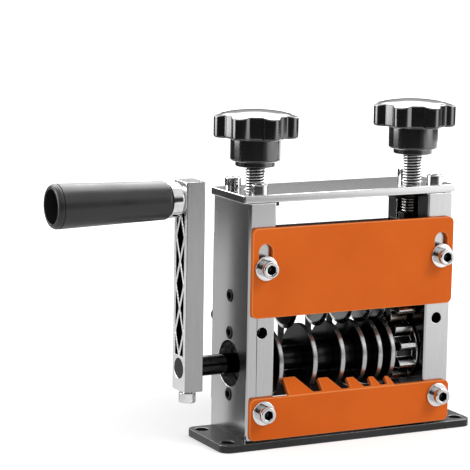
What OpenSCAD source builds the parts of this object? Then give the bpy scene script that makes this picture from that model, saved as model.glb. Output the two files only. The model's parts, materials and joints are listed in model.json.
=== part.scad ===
// Hand crank wire stripper, standing on its base plate.
// Millimetres. +X is the right end, -Y the feed side, +Z up.
// The origin is on the underside of the base, below the middle of the drive shaft.

/* [Channels] */
// Width of the first, widest cable channel
channel_w_1 = 20; // [18:0.5:24]
// Width of the second channel
channel_w_2 = 16; // [14:0.5:20]
// Width of the third channel
channel_w_3 = 12; // [10:0.5:15]
// Width of the fourth channel
channel_w_4 = 8; // [7:0.5:10]
// Width of the fifth, narrowest channel
channel_w_5 = 6; // [5.5:0.5:8]
// Height left for the cable under the first blade
cable_gap_1 = 11; // [9:0.25:11.5]
// Height left under the second blade
cable_gap_2 = 8.5; // [7:0.25:10]
// Height left under the third blade
cable_gap_3 = 7; // [6:0.25:9]
// Height left under the fourth blade
cable_gap_4 = 6; // [5:0.25:8]
// Height left under the fifth blade
cable_gap_5 = 5.3; // [4.5:0.1:7]

/* [Rollers and blades] */
// Diameter of the drive and cutter shafts
shaft_d = 12; // [10:0.5:13]
// Diameter of the feed discs
disc_d = 41; // [38:0.5:43]
// Thickness of one feed disc
disc_t = 3; // [2:0.25:4]
// Bevel at both corners of a disc's rim
disc_bevel = 0.4; // [0.2:0.1:0.8]
// How far the blades reach down between the discs
blade_overlap = 2; // [1:0.25:3]
// Thickness of one cutting blade
blade_t = 2; // [1.2:0.2:3]
// Width of the ground bevel round a blade
blade_bevel = 2.5; // [1.5:0.25:4]
// Diameter of the spacers between the blades
blade_spacer_d = 20; // [17:0.5:22]
// Diameter of the sleeves outside the discs
end_sleeve_d = 16; // [14.5:0.5:18]
// Side of the square key in each shaft
key_s = 4; // [3:0.25:4.5]

/* [Gears] */
// Number of teeth on each gear
gear_teeth = 9; // [9:1:12]
// Shaft distance at which the teeth are fully in mesh
gear_c_min = 33; // [32:0.25:34]
// Shaft distance at rest
mesh_c = 36.5; // [35.5:0.25:37]
// Face width of a gear
gear_w = 11.4; // [9:0.2:14]
// Thickness of the thin flange at the drive gear's end
flange_t = 1; // [0.6:0.1:1.5]
// Diameter of that flange
flange_d = 37; // [34:0.5:39]
// Gap between the last disc and the drive gear
gear_gap = 4.7; // [4:0.1:8]
// Pressure angle of the teeth
gear_angle = 25; // [22:0.5:27]
// How far the meshing teeth stand off the vertical at rest
mesh_turn = 5.5; // [0:0.5:10]

/* [Frame] */
// Thickness of the side plates
plate_t = 18; // [17:0.5:22]
// Depth of the side plates, front to back
plate_d = 47; // [46:0.5:54]
// Height of the side plates
plate_h = 141.5; // [136:0.5:155]
// Radius on the side plates' upright edges
plate_edge_r = 1.6; // [0.8:0.2:3]
// Gap between the left plate and the first disc
left_gap = 5.3; // [4.5:0.1:9]
// Gap between the gear flange and the right plate
right_gap = 0.6; // [0.4:0.1:3]
// Thickness of the base plate
base_t = 4.7; // [4:0.1:8]
// Length of the base plate beyond each side plate
base_ear = 16.5; // [16:0.5:26]
// Base plate in front of the side plates
base_front = 3.5; // [3:0.5:8]
// Base plate behind the side plates
base_back = 0.5; // [0:0.5:8]
// Corner radius of the base plate
base_corner_r = 6; // [2:0.5:10]
// Diameter of the bench bolt holes
base_hole_d = 8; // [6:0.5:9]
// Bench bolt holes from the ends of the base
base_hole_inset = 7; // [6.5:0.25:9]
// Distance between the bolt holes, front to back
base_hole_pitch = 34; // [26:0.5:36]
// Thickness of the top plate
top_t = 4.6; // [4:0.1:8]
// Top plate beyond each side plate
top_over = 2.75; // [0:0.25:4]
// Top plate set back from the side plates' faces
top_inset = 1.75; // [0:0.25:2]

/* [Shaft places] */
// Drive shaft above the top of the base plate
drive_h = 42.9; // [40:0.1:48]
// Outer diameter of the drive shaft bearings
bearing_d = 28; // [27:0.5:29]
// Width of a bearing
bearing_w = 8; // [7:0.5:9]
// Thickness of the bearing keeper plates
keeper_t = 2; // [1.5:0.1:3]
// Keeper screws above and below the shaft
keeper_pitch = 37.4; // [36.6:0.2:38.4]
// Depth of the slide channel in each side plate
slide_depth = 11; // [10.6:0.1:12]
// Width of the slide channel, front to back
slide_w = 24.6; // [21:0.2:25]

/* [Knobs] */
// Diameter of the threaded studs
stud_d = 12; // [11:0.5:12.5]
// Studs inside the side plates' outer faces
stud_inset = 15.3; // [15:0.1:16]
// Stud showing between the top plate and the left knob
knob_gap = 14.3; // [11:0.1:20]
// How much higher the right knob stands
knob_r_lift = 3; // [0:0.25:5]
// Stud length between the bearing block and the top plate
stud_free = 18.7; // [16:0.1:24]
// Diameter of the collar on a stud
collar_d = 15.2; // [14:0.1:15.6]
// Height of that collar
collar_h = 4.5; // [3:0.1:6]
// Diameter over a knob's lobes
knob_d = 50.8; // [46:0.2:56]
// Number of lobes on a knob
knob_lobes = 7; // [5:1:9]
// Height of the lobes at their edge
knob_lobe_h = 12.5; // [9:0.25:16]
// Rise of the domed top over the lobes
knob_dome_h = 3.5; // [1:0.25:5]
// Diameter of a knob's hub
knob_hub_d = 30; // [26:0.5:34]
// Height of that hub
knob_hub_h = 14; // [10:0.5:18]
// Diameter of the small boss under the hub
knob_boss_d = 23.8; // [19:0.2:26]
// Height of that boss
knob_boss_h = 3.2; // [2:0.2:6]

/* [Covers] */
// Thickness of the two front covers
cover_t = 3; // [2:0.25:4]
// Covers short of the side plates' outer faces
cover_inset = 1; // [0.5:0.25:3]
// Corner radius of the covers
cover_corner_r = 3.5; // [1:0.5:6]
// Height of the upper cover
upper_h = 53; // [50:0.5:56]
// Top of the upper cover below the plates' tops
upper_drop = 14.2; // [12:0.2:18]
// Upper cover screws below the top of that cover
upper_screw_drop = 23.4; // [22:0.2:25]
// Width of the slots in the upper cover
slot_w = 9; // [7:0.25:10]
// Length of travel in those slots
slot_travel = 9.7; // [4:0.1:10.5]
// Height of the lower cover
lower_h = 25.2; // [22:0.2:26]
// Lower cover above the base plate
lower_lift = 1; // [0.5:0.25:2]
// Lower cover screws above the base plate
lower_screw_h = 17.6; // [16:0.2:18.5]
// Room between the comb's tips and the hubs
comb_gap = 11.2; // [10:0.2:13]
// Lean of the comb flange from upright
comb_lean = 45; // [40:1:50]
// Room on the right of each disc in the comb
comb_room = 0.8; // [0.6:0.1:1.4]
// Web left at the foot of the comb slots
comb_root = 1.5; // [1:0.25:3]
// Thickness of the back cover
back_t = 1.5; // [1:0.25:3]
// Height of the back cover
back_h = 106.4; // [100:0.2:108]
// Back cover above the base plate
back_lift = 13.6; // [12:0.2:15]
// Back windows above the blades' lower edges
exit_over = 2.5; // [1:0.25:4]
// Back windows below the bottoms of the channels
exit_under = 1.5; // [0.5:0.25:3]
// Back windows narrower than the channels, each side
exit_inset = 0.5; // [0:0.25:1]

/* [Crank] */
// Distance from the shaft to the grip
crank_r = 100; // [90:1:120]
// Width of the crank arm, along the shaft
arm_w = 12; // [9.5:0.25:14]
// Depth of the crank arm
arm_d = 17; // [15.5:0.25:20]
// Gap between the side plate and the arm
arm_gap = 21.2; // [15:0.2:30]
// Arm below the shaft
arm_foot = 13.4; // [12:0.2:16]
// Arm above the grip bolt
arm_head = 10.9; // [8:0.1:12]
// Width of the latticed pocket in the arm
pocket_w = 10.8; // [9:0.2:12]
// Depth of that pocket
pocket_depth = 4; // [2:0.25:6]
// Length of one cell of the lattice
lattice_pitch = 28.2; // [24:0.2:29]
// Number of cells in the lattice
lattice_cells = 3; // [1:1:3]
// Width of the lattice ribs
lattice_rib = 1.8; // [1.2:0.1:2.4]
// Length of the grip
grip_len = 72; // [60:1:90]
// Diameter of the grip's free end
grip_d = 26; // [24:0.25:30]
// Diameter of the grip's inner end
grip_neck_d = 22.3; // [20:0.1:24]
// Bore in the grip's free end
grip_bore_d = 20; // [17:0.2:21]
// Thickness of the web that the grip turns on
grip_web = 13.5; // [10:0.5:20]
// Diameter of the collar between grip and arm
spacer_d = 20.6; // [18:0.2:21]
// Length of that collar with its neck
spacer_len = 9; // [7:0.5:14]
// Diameter of the neck of the collar, at the arm
spacer_neck_d = 14; // [11:0.5:16]
// Length of that neck
spacer_neck_len = 2.2; // [1:0.2:4]

/* [Fasteners] */
// Diameter of the cap screws
screw_d = 6; // [5:0.25:6]
// Diameter of their heads
screw_head_d = 10; // [9:0.25:10.5]
// Height of their heads
screw_head_h = 6; // [5:0.25:7]
// Width across the flats of their sockets
screw_hex = 5; // [4:0.25:5.5]
// Depth of their sockets
screw_socket = 3.4; // [2.5:0.1:4]
// Diameter of the cover washers
washer_d = 14.6; // [13:0.2:16]
// Thickness of the cover washers
washer_t = 1.6; // [1:0.1:2]
// Screws in from the side plates' outer faces
screw_inset = 9.5; // [8.5:0.25:9.5]
// Length of a cover screw in its side plate
cover_screw_bite = 9.6; // [7:0.2:9.8]
// Top screws from the middle of the plates
top_screw_y = 17; // [16.8:0.2:17.2]
// Length of a top screw in its side plate
top_screw_bite = 14; // [10:0.5:16]
// Diameter of the spare tapped holes in front
spare_hole_d = 6.8; // [5:0.2:7]
// Height of the spare holes above the base
spare_hole_h = 64.9; // [62:0.1:66]
// Depth of the spare holes
spare_hole_depth = 9.6; // [7:0.2:9.8]
// Diameter of the grip bolt
bolt_d = 8; // [6:0.25:8]
// Diameter of the grip bolt's head
bolt_head_d = 13; // [12:0.25:14]
// Height of the grip bolt's head
bolt_head_h = 8; // [6:0.25:9]

/* [Hidden] */
$fn = 72;

// Clearances and the one overrun for cuts
slip = 0.02;
run = 0.05;
thrust = 0.1;
side_play = 0.3;
over = 1;

// The row of discs sets the width of the frame
channel_w = [channel_w_1, channel_w_2, channel_w_3, channel_w_4, channel_w_5];
cable_gap = [cable_gap_1, cable_gap_2, cable_gap_3, cable_gap_4, cable_gap_5];
channels = len(channel_w);
function total(v, n) = n <= 0 ? 0 : v[n - 1] + total(v, n - 1);
stack_w = total(channel_w, channels) + (channels + 1) * disc_t;
inner_w = left_gap + stack_w + gear_gap + gear_w + flange_t + right_gap;
inner_x = inner_w / 2;
outer_x = inner_x + plate_t;
first_x = -inner_x + left_gap;
function disc_x(i) = first_x + i * disc_t + total(channel_w, i);
function channel_x(i) = disc_x(i) + disc_t + channel_w[i] / 2;
gear_x = disc_x(channels) + disc_t + gear_gap;
gear_end_x = gear_x + gear_w;

// Heights
plate_top = base_t + plate_h;
drive_z = base_t + drive_h;
cutter_z = drive_z + mesh_c;
face_y = plate_d / 2;
screw_x = outer_x - screw_inset;
top_corner_r = 1;

// Bearings and their seats
ball_share = 0.3;
race_gap_share = 0.27;
seal_share = 0.09;
ball_d = (bearing_d - shaft_d) * ball_share;
ball_ring_r = (bearing_d + shaft_d) / 4;
ball_count = 8;
race_gap = ball_d * race_gap_share;
seal_t = bearing_w * seal_share;
circlip_t = 1.2;
circlip_bite = 0.7;
circlip_web = 2;
bearing_x = inner_x + keeper_t;
bearing_out_x = bearing_x + bearing_w;
keeper_lip = 1;
keeper_gap = 2;
keeper_w = bearing_d - 2 * keeper_lip;
keeper_bore_d = end_sleeve_d + 2 * keeper_gap;
keeper_screw_d = 5;
keeper_head_d = 8;
keeper_head_h = 5;
keeper_proud = 0.6;
keeper_hex = 4;

// Bearing blocks that carry the cutter shaft
bush_wall = 2;
block_wall = 1.5;
block_proud = 1.1;
block_in_x = inner_x - block_proud;
block_head_t = 15.5;
block_out_x = inner_x + slide_depth - side_play;
block_head_x = block_out_x - block_head_t;
block_w = slide_w - 2 * thrust;
block_foot = shaft_d / 2 + bush_wall + block_wall;
block_top = plate_top - stud_free;
block_head_h = 22.5;
block_low_top = block_top - block_head_h;
slide_floor = drive_z + gear_c_min - block_foot - side_play;
keeper_end_r = slide_floor - thrust - drive_z - keeper_pitch / 2;
bush_d = shaft_d + 2 * bush_wall;
bush_flange_d = shaft_d + 4 * bush_wall;
bush_flange_t = 0.8;
bush_len = block_out_x - block_in_x - block_wall;
cutter_end_x = block_in_x + bush_len;
lock_d = 8;
lock_proud = 0.6;
lock_hex = 4;
lock_rise = 4.5;
lock_z = cutter_z + lock_rise;

// Studs, collars and nuts
stud_x = outer_x - stud_inset;
stud_step = 2;
journal_d = stud_d - stud_step;
journal_h = 10;
stud_tip_d = journal_d - stud_step;
stud_tip_h = 8;
end_nut_flats = 13;
end_nut_h = 6.5;
nut_room = 4;
nut_room_w = end_nut_flats / cos(30) + 2 * side_play;
stud_nut_wall = 1.8;
stud_nut_d = stud_d + 2 * stud_nut_wall;
stud_nut_h = 5;
stud_nut_tail = 14.2;
stud_nut_tail_w = 9.4;
stud_in_knob = 18;

// Covers
upper_top = plate_top - upper_drop;
upper_screw_z = upper_top - upper_screw_drop;
lower_z = base_t + lower_lift;
lower_top = lower_z + lower_h;
lower_screw_z = base_t + lower_screw_h;
back_z = base_t + back_lift;
back_screw_inset = 6.5;
back_screw_x = outer_x - back_screw_inset;
back_screw_z = back_z + back_h / 2;
back_screw_d = 5;
back_head_d = 8.5;
back_head_h = 5;
back_hex = 4;
exit_corner_r = 1;

// Crank
arm_x = -outer_x - arm_gap;
arm_out_x = arm_x - arm_w;
arm_edge_r = 0.8;
grip_z = drive_z + crank_r;
clamp_neck = 1.6;
grip_x = arm_out_x - spacer_len - thrust;
grip_nose_len = 2.4;
grip_nose_w = 1.8;
nose_bulge_share = 0.35;
grip_groove_w = 0.8;
grip_groove_depth = 0.5;
grip_groove_in = 3.8;
grip_lip_r = 2;

// Gear tooth numbers
tip_share = 0.79;
root_gap_share = 0.14;
backlash_share = 0.08;
gear_module = gear_c_min / gear_teeth;
gear_pitch_r = gear_c_min / 2;
gear_base_r = gear_pitch_r * cos(gear_angle);
gear_tip_r = gear_pitch_r + gear_module * tip_share;
gear_root_r = gear_c_min - gear_tip_r - gear_module * root_gap_share;
gear_backlash = gear_module * backlash_share;
gear_bevel = 0.5;
cutter_gear_x = gear_end_x - gear_w - gear_bevel;
function involute(angle) = tan(angle) * 180 / PI - angle;
function angle_at(r) = acos(min(1, gear_base_r / r));
function half_tooth(r) = 90 / gear_teeth - gear_backlash / gear_pitch_r * 90 / PI
    + involute(gear_angle) - involute(angle_at(r));

module tube(outer_d, inner_d, length) {
    difference() {
        cylinder(h = length, d = outer_d);
        translate([0, 0, -over]) cylinder(h = length + 2 * over, d = inner_d);
    }
}

// Everything on a shaft is drawn along Z and laid along X here
module along_x(x, z) {
    translate([x, 0, z]) rotate([0, 90, 0]) children();
}

module both_ends() {
    children();
    mirror([1, 0, 0]) children();
}

module rounded_square(w, d, r) {
    union() {
        square([w - 2 * r, d], center = true);
        square([w, d - 2 * r], center = true);
        for (sx = [-1, 1], sy = [-1, 1])
            translate([sx * (w / 2 - r), sy * (d / 2 - r)]) circle(r);
    }
}

// A socket head screw, head up, the seat of its head at zero
module cap_screw(d, head_d, head_h, hex, socket, length) {
    difference() {
        union() {
            cylinder(h = head_h, d = head_d);
            translate([0, 0, -length]) cylinder(h = length + head_h / 2, d = d);
        }
        translate([0, 0, head_h - socket]) cylinder(h = socket + over, d = hex / cos(30), $fn = 6);
    }
}

module hex_nut(flats, bore, h) {
    difference() {
        cylinder(h = h, d = flats / cos(30), $fn = 6);
        translate([0, 0, -over]) cylinder(h = h + 2 * over, d = bore);
    }
}

module base_plate() {
    w = 2 * (outer_x + base_ear);
    d = plate_d + base_front + base_back;
    mid_y = (base_back - base_front) / 2;
    color("#2b2c2f")
    difference() {
        translate([0, mid_y, 0]) linear_extrude(base_t) rounded_square(w, d, base_corner_r);
        for (sx = [-1, 1], sy = [-1, 1])
            translate([sx * (w / 2 - base_hole_inset), mid_y + sy * base_hole_pitch / 2, -over])
                cylinder(h = base_t + 2 * over, d = base_hole_d);
        for (sx = [-1, 1], sy = [-1, 1])
            translate([sx * screw_x, sy * base_screw_y, 0]) base_screw_room();
    }
}

// Countersunk screws that hold the side plates down
base_screw_y = 14;
base_screw_bite = 12;
base_screw_head_h = 3;
module base_screw_room() {
    translate([0, 0, -over]) cylinder(h = base_t + 2 * over, d = screw_d + 2 * slip);
    translate([0, 0, -slip]) cylinder(h = base_screw_head_h, d1 = 2 * screw_d, d2 = screw_d);
}

module base_screw() {
    difference() {
        union() {
            cylinder(h = base_t + base_screw_bite, d = screw_d);
            cylinder(h = base_screw_head_h - slip, d1 = 2 * screw_d - 4 * slip, d2 = screw_d);
        }
        translate([0, 0, -over]) cylinder(h = base_screw_head_h, d = screw_hex / cos(30), $fn = 6);
    }
}

module base_screws() {
    color("#3a3a3c")
    for (sx = [-1, 1], sy = [-1, 1])
        translate([sx * screw_x, sy * base_screw_y, 0]) base_screw();
}

// The right side plate; the left one is its mirror image
module side_plate() {
    hole_d = screw_d + 2 * slip;
    difference() {
        translate([inner_x + plate_t / 2, 0, base_t])
            linear_extrude(plate_h) rounded_square(plate_t, plate_d, plate_edge_r);
        // Bearing bore with its circlip groove
        along_x(inner_x - over, drive_z) cylinder(h = plate_t + 2 * over, d = bearing_d + 2 * slip);
        along_x(bearing_out_x + slip, drive_z)
            cylinder(h = circlip_t + 2 * slip, d = bearing_d + 2 * circlip_bite);
        // Recess and screws for the bearing keeper
        along_x(inner_x - over, drive_z)
            linear_extrude(keeper_t + over) keeper_outline(slip);
        for (s = [-1, 1]) along_x(inner_x, drive_z + s * keeper_pitch / 2) {
            cylinder(h = plate_t + over, d = keeper_screw_d + 2 * slip);
            translate([0, 0, plate_t - keeper_head_h + keeper_proud])
                cylinder(h = keeper_head_h + over, d = keeper_head_d + 2 * slip);
        }
        // Slide channel for the bearing block, and its lock screw
        translate([inner_x - over, -slide_w / 2, slide_floor])
            cube([slide_depth + over, slide_w, plate_top - slide_floor + over]);
        along_x(inner_x, lock_z) cylinder(h = plate_t + over, d = lock_d + 2 * slip);
        // Tapped holes in the front face
        for (z = [lower_screw_z, upper_screw_z]) translate([screw_x, -face_y, z])
            rotate([-90, 0, 0]) tapped_hole(hole_d, cover_screw_bite + side_play);
        translate([screw_x, -face_y, base_t + spare_hole_h])
            rotate([-90, 0, 0]) tapped_hole(spare_hole_d, spare_hole_depth);
        // Tapped holes in the back, top and bottom
        translate([back_screw_x, face_y, back_screw_z])
            rotate([90, 0, 0]) tapped_hole(back_screw_d + 2 * slip, cover_screw_bite + side_play);
        for (s = [-1, 1]) {
            translate([screw_x, s * top_screw_y, plate_top])
                mirror([0, 0, 1]) tapped_hole(hole_d, top_screw_bite + side_play);
            translate([screw_x, s * base_screw_y, base_t])
                tapped_hole(hole_d, base_screw_bite + side_play);
        }
    }
}

module tapped_hole(d, depth) {
    translate([0, 0, -over]) cylinder(h = depth + over, d = d);
}

module side_plate_right() {
    color("#c9c9c9") side_plate();
}

module side_plate_left() {
    color("#a4a4a2") mirror([1, 0, 0]) side_plate();
}

module top_plate() {
    color("#b9b9b9")
    difference() {
        translate([0, 0, plate_top])
            linear_extrude(top_t)
                rounded_square(2 * (outer_x + top_over), plate_d - 2 * top_inset, top_corner_r);
        for (sx = [-1, 1]) {
            translate([sx * stud_x, 0, plate_top - over])
                cylinder(h = top_t + 2 * over, d = stud_d + 2 * side_play);
            for (sy = [-1, 1]) translate([sx * screw_x, sy * top_screw_y, plate_top - over])
                cylinder(h = top_t + 2 * over, d = screw_d + 2 * slip);
        }
    }
}

module top_plate_screws() {
    color("silver")
    for (sx = [-1, 1], sy = [-1, 1])
        translate([sx * screw_x, sy * top_screw_y, plate_top + top_t])
            cap_screw(screw_d, screw_head_d, screw_head_h, screw_hex, screw_socket,
                top_t + top_screw_bite);
}

// Threaded lugs under the top plate, in which the studs turn
module stud_nuts() {
    color("#333333")
    both_ends()
        difference() {
            translate([stud_x, 0, plate_top - stud_nut_h]) {
                cylinder(h = stud_nut_h, d = stud_nut_d);
                translate([-stud_nut_tail, -stud_nut_tail_w / 2, 0])
                    cube([stud_nut_tail, stud_nut_tail_w, stud_nut_h]);
            }
            translate([stud_x, 0, plate_top - stud_nut_h - over])
                cylinder(h = stud_nut_h + 2 * over, d = stud_d + 2 * run);
        }
}

module ball_groove() {
    rotate_extrude() translate([ball_ring_r, bearing_w / 2]) circle(d = ball_d + 2 * run, $fn = 48);
}

module bearing_outer_rings() {
    color("#8f9194")
    both_ends() along_x(bearing_x, drive_z)
        difference() {
            tube(bearing_d, 2 * ball_ring_r + 2 * race_gap, bearing_w);
            ball_groove();
        }
}

module bearing_inner_rings() {
    color("#8f9194")
    both_ends() along_x(bearing_x, drive_z)
        difference() {
            tube(2 * ball_ring_r - 2 * race_gap, shaft_d + 2 * slip, bearing_w);
            ball_groove();
        }
}

module bearing_balls() {
    color("silver")
    both_ends() along_x(bearing_x, drive_z)
        for (i = [0 : ball_count - 1]) rotate(i * 360 / ball_count)
            translate([ball_ring_r, 0, bearing_w / 2]) sphere(d = ball_d, $fn = 32);
}

module bearing_seals() {
    color("#1c1c1c")
    both_ends() along_x(bearing_x, drive_z)
        for (z = [0, bearing_w - seal_t]) translate([0, 0, z])
            tube(2 * ball_ring_r + 2 * race_gap - 2 * slip,
                2 * ball_ring_r - 2 * race_gap + 2 * thrust, seal_t);
}

// Internal circlip: a flat ring with a gap, seated in the bore's groove
module bearing_circlips() {
    color("#2a2a2a")
    both_ends() along_x(bearing_out_x + 2 * slip, drive_z)
        difference() {
            tube(bearing_d + 2 * circlip_bite - 2 * slip, bearing_d - 2 * circlip_web, circlip_t);
            translate([-bearing_d, -circlip_web, -over])
                cube([bearing_d, 2 * circlip_web, circlip_t + 2 * over]);
        }
}

module keeper_outline(room) {
    union() {
        circle(d = keeper_w + 2 * room);
        for (s = [-1, 1]) translate([s * keeper_pitch / 2, 0]) circle(keeper_end_r + room);
        square([keeper_pitch, 2 * keeper_end_r + 2 * room], center = true);
    }
}

module bearing_keepers() {
    color("#4a4b4d")
    both_ends() along_x(inner_x, drive_z)
        difference() {
            linear_extrude(keeper_t) keeper_outline(0);
            translate([0, 0, -over]) cylinder(h = keeper_t + 2 * over, d = keeper_bore_d);
            for (s = [-1, 1]) translate([s * keeper_pitch / 2, 0, -over])
                cylinder(h = keeper_t + 2 * over, d = keeper_screw_d + 2 * slip);
        }
}

module keeper_screws() {
    color("#1b1b1c")
    both_ends() for (s = [-1, 1])
        along_x(outer_x + keeper_proud - keeper_head_h, drive_z + s * keeper_pitch / 2)
            cap_screw(keeper_screw_d, keeper_head_d, keeper_head_h, keeper_hex, screw_socket,
                plate_t + keeper_proud - keeper_head_h);
}

module block_lock_screws() {
    length = plate_t - slide_depth + lock_proud;
    color("#1b1b1c")
    both_ends() along_x(inner_x + slide_depth, lock_z)
        difference() {
            cylinder(h = length, d = lock_d);
            translate([0, 0, length - screw_socket])
                cylinder(h = screw_socket + over, d = lock_hex / cos(30), $fn = 6);
        }
}

// A cover panel, drawn flat in XZ, its back on the given plane
module panel(w, h, t, r) {
    rotate([90, 0, 0]) linear_extrude(t) rounded_square(w, h, r);
}

module lower_cover() {
    w = 2 * (outer_x - cover_inset);
    color("#d96428")
    difference() {
        union() {
            translate([0, -face_y, lower_z + lower_h / 2]) panel(w, lower_h, cover_t, cover_corner_r);
            comb();
        }
        for (sx = [-1, 1]) translate([sx * screw_x, -face_y + over, lower_screw_z])
            rotate([90, 0, 0]) cylinder(h = cover_t + 2 * over, d = screw_d + 2 * slip);
    }
}

// The comb leans back over the fold. Its tips keep one distance from the hubs, so the teeth are
// shorter at the narrow channels, and their right sides are swept back.
comb_side_share = 0.13;
comb_tip_share = 0.5;
comb_foot_y = face_y + cover_t;
comb_foot_z = drive_z - lower_top;
function comb_reach(i) =
    let (m = comb_foot_y * sin(comb_lean) + comb_foot_z * cos(comb_lean), r = hub_r(i) + comb_gap)
    m - sqrt(m * m - comb_foot_y * comb_foot_y - comb_foot_z * comb_foot_z + r * r);

module comb_outline() {
    points = [for (k = [1 : channels])
        let (i = channels - k, left = disc_x(i) + disc_t + comb_room,
            right = disc_x(i + 1) - channel_w[i] * comb_side_share)
        each concat(
            [[right, comb_root], [left + (right - left) * comb_tip_share, comb_reach(i)]],
            [[left, comb_reach(i)]],
            i > 0 ? [[left, comb_root]] : [])];
    start = disc_x(0) + disc_t + comb_room;
    end = disc_x(channels) - channel_w[channels - 1] * comb_side_share;
    polygon(concat([[start, 0], [end, 0]], points));
}

module comb() {
    translate([0, -comb_foot_y, lower_top]) rotate([90 - comb_lean, 0, 0])
        translate([0, 0, -cover_t]) linear_extrude(cover_t) comb_outline();
}

module cover_washer(z) {
    both_ends() translate([screw_x, -face_y - cover_t - washer_gap(z), z])
        rotate([90, 0, 0]) tube(washer_d, screw_d + 2 * slip, washer_t);
}

// The upper cover slides, so it has a little play under its washers
function washer_gap(z) = z > drive_z ? 2 * thrust : 0;

module cover_screw(z) {
    both_ends() translate([screw_x, -face_y - cover_t - washer_gap(z) - washer_t, z])
        rotate([90, 0, 0])
            cap_screw(screw_d, screw_head_d, screw_head_h, screw_hex, screw_socket,
                cover_t + washer_gap(z) + washer_t + cover_screw_bite);
}

module lower_cover_washers() {
    color("silver") cover_washer(lower_screw_z);
}

module lower_cover_screws() {
    color("silver") cover_screw(lower_screw_z);
}

module upper_cover_washers() {
    color("silver") cover_washer(upper_screw_z);
}

module upper_cover_screws() {
    color("silver") cover_screw(upper_screw_z);
}

module upper_cover() {
    w = 2 * (outer_x - cover_inset);
    color("#e0702c")
    difference() {
        translate([0, -face_y - thrust, upper_top - upper_h / 2])
            panel(w, upper_h, cover_t, cover_corner_r);
        for (sx = [-1, 1]) translate([sx * screw_x, -face_y + over, upper_screw_z])
            rotate([90, 0, 0]) linear_extrude(cover_t + 2 * over) slot();
    }
}

module slot() {
    union() {
        circle(d = slot_w);
        translate([0, slot_travel]) circle(d = slot_w);
        translate([-slot_w / 2, 0]) square([slot_w, slot_travel]);
    }
}

module back_cover() {
    w = 2 * (outer_x - cover_inset);
    exit_top = cutter_z - blade_r + exit_over;
    color("#85868a")
    difference() {
        translate([0, face_y + back_t, back_z + back_h / 2])
            panel(w, back_h, back_t, cover_corner_r);
        // A window behind each channel lets the stripped cable out
        for (i = [0 : channels - 1]) {
            exit_z = drive_z + hub_r(i) - exit_under;
            translate([channel_x(i), face_y + back_t + over, (exit_top + exit_z) / 2])
                panel(channel_w[i] - 2 * exit_inset, exit_top - exit_z, back_t + 2 * over, exit_corner_r);
        }
        for (sx = [-1, 1]) translate([sx * back_screw_x, face_y - over, back_screw_z])
            rotate([-90, 0, 0]) cylinder(h = back_t + 2 * over, d = back_screw_d + 2 * slip);
    }
}

module back_cover_screws() {
    color("#1b1b1c")
    both_ends() translate([back_screw_x, face_y + back_t, back_screw_z])
        rotate([-90, 0, 0])
            cap_screw(back_screw_d, back_head_d, back_head_h, back_hex, back_head_h / 2,
                back_t + cover_screw_bite);
}

// The right bearing block: a shank for the cutter shaft, and a head that the stud turns in
module bearing_block() {
    room_z = block_top - journal_h;
    difference() {
        union() {
            translate([block_in_x, -block_w / 2, cutter_z - block_foot])
                cube([block_out_x - block_in_x, block_w, block_top - cutter_z + block_foot]);
            translate([block_head_x, -block_w / 2, block_low_top])
                cube([block_head_t, block_w, block_head_h]);
        }
        along_x(block_in_x - over, cutter_z) cylinder(h = bush_len + over, d = bush_d + 2 * slip);
        translate([stud_x, 0, room_z - over])
            cylinder(h = journal_h + 2 * over, d = journal_d + 2 * run);
        translate([block_head_x - over, -nut_room_w / 2, room_z - end_nut_h - nut_room])
            cube([block_head_t + 2 * over, nut_room_w, end_nut_h + nut_room]);
    }
}

module bearing_block_right() {
    color("#3d3e41") bearing_block();
}

module bearing_block_left() {
    color("#3d3e41") mirror([1, 0, 0]) bearing_block();
}

module cutter_bushes() {
    color("#b08d57")
    both_ends() along_x(block_in_x, cutter_z)
        difference() {
            union() {
                cylinder(h = bush_len, d = bush_d);
                translate([0, 0, -bush_flange_t]) cylinder(h = bush_flange_t, d = bush_flange_d);
            }
            translate([0, 0, -over - bush_flange_t])
                cylinder(h = bush_len + bush_flange_t + 2 * over, d = shaft_d + 2 * run);
        }
}

// One star knob, its boss on the ground
lobe_share = 0.11;
valley_share = 0.41;
module star_knob() {
    lobe_r = knob_d * lobe_share;
    valley_r = knob_d * valley_share;
    dome_r = (knob_d * knob_d / 4 + knob_dome_h * knob_dome_h) / (2 * knob_dome_h);
    hub_z = knob_boss_h + knob_hub_h;
    top_z = hub_z + knob_lobe_h + knob_dome_h;
    difference() {
        union() {
            cylinder(h = knob_boss_h, d = knob_boss_d);
            translate([0, 0, knob_boss_h]) cylinder(h = knob_hub_h, d = knob_hub_d);
            intersection() {
                translate([0, 0, hub_z]) linear_extrude(knob_lobe_h + knob_dome_h) union() {
                    circle(valley_r);
                    for (i = [0 : knob_lobes - 1]) rotate(i * 360 / knob_lobes)
                        translate([knob_d / 2 - lobe_r, 0]) circle(lobe_r);
                }
                translate([0, 0, top_z - dome_r]) sphere(dome_r, $fn = 96);
            }
        }
        translate([0, 0, -over]) cylinder(h = stud_in_knob + over, d = stud_d + 2 * slip);
    }
}

// How far each lobed top is turned at rest
knob_turn = 62.5;
knob_r_turn = 1.5;
knob_z = plate_top + top_t + knob_gap;

module knob_left() {
    color("#161617") translate([-stud_x, 0, knob_z]) rotate(knob_turn) star_knob();
}

module knob_right() {
    color("#161617") translate([stud_x, 0, knob_z + knob_r_lift])
        rotate(knob_turn + knob_r_turn) star_knob();
}

// A stud: thread up to the knob, journal in the block, a smaller thread for the end nut
module stud(x, lift) {
    foot = block_top + thrust;
    translate([x, 0, 0]) {
        translate([0, 0, foot]) cylinder(h = knob_z + lift + stud_in_knob - foot - slip, d = stud_d);
        translate([0, 0, foot - journal_h - 2 * thrust])
            cylinder(h = journal_h + 2 * thrust, d = journal_d);
        translate([0, 0, foot - journal_h - 2 * thrust - stud_tip_h])
            cylinder(h = stud_tip_h, d = stud_tip_d);
    }
}

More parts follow.
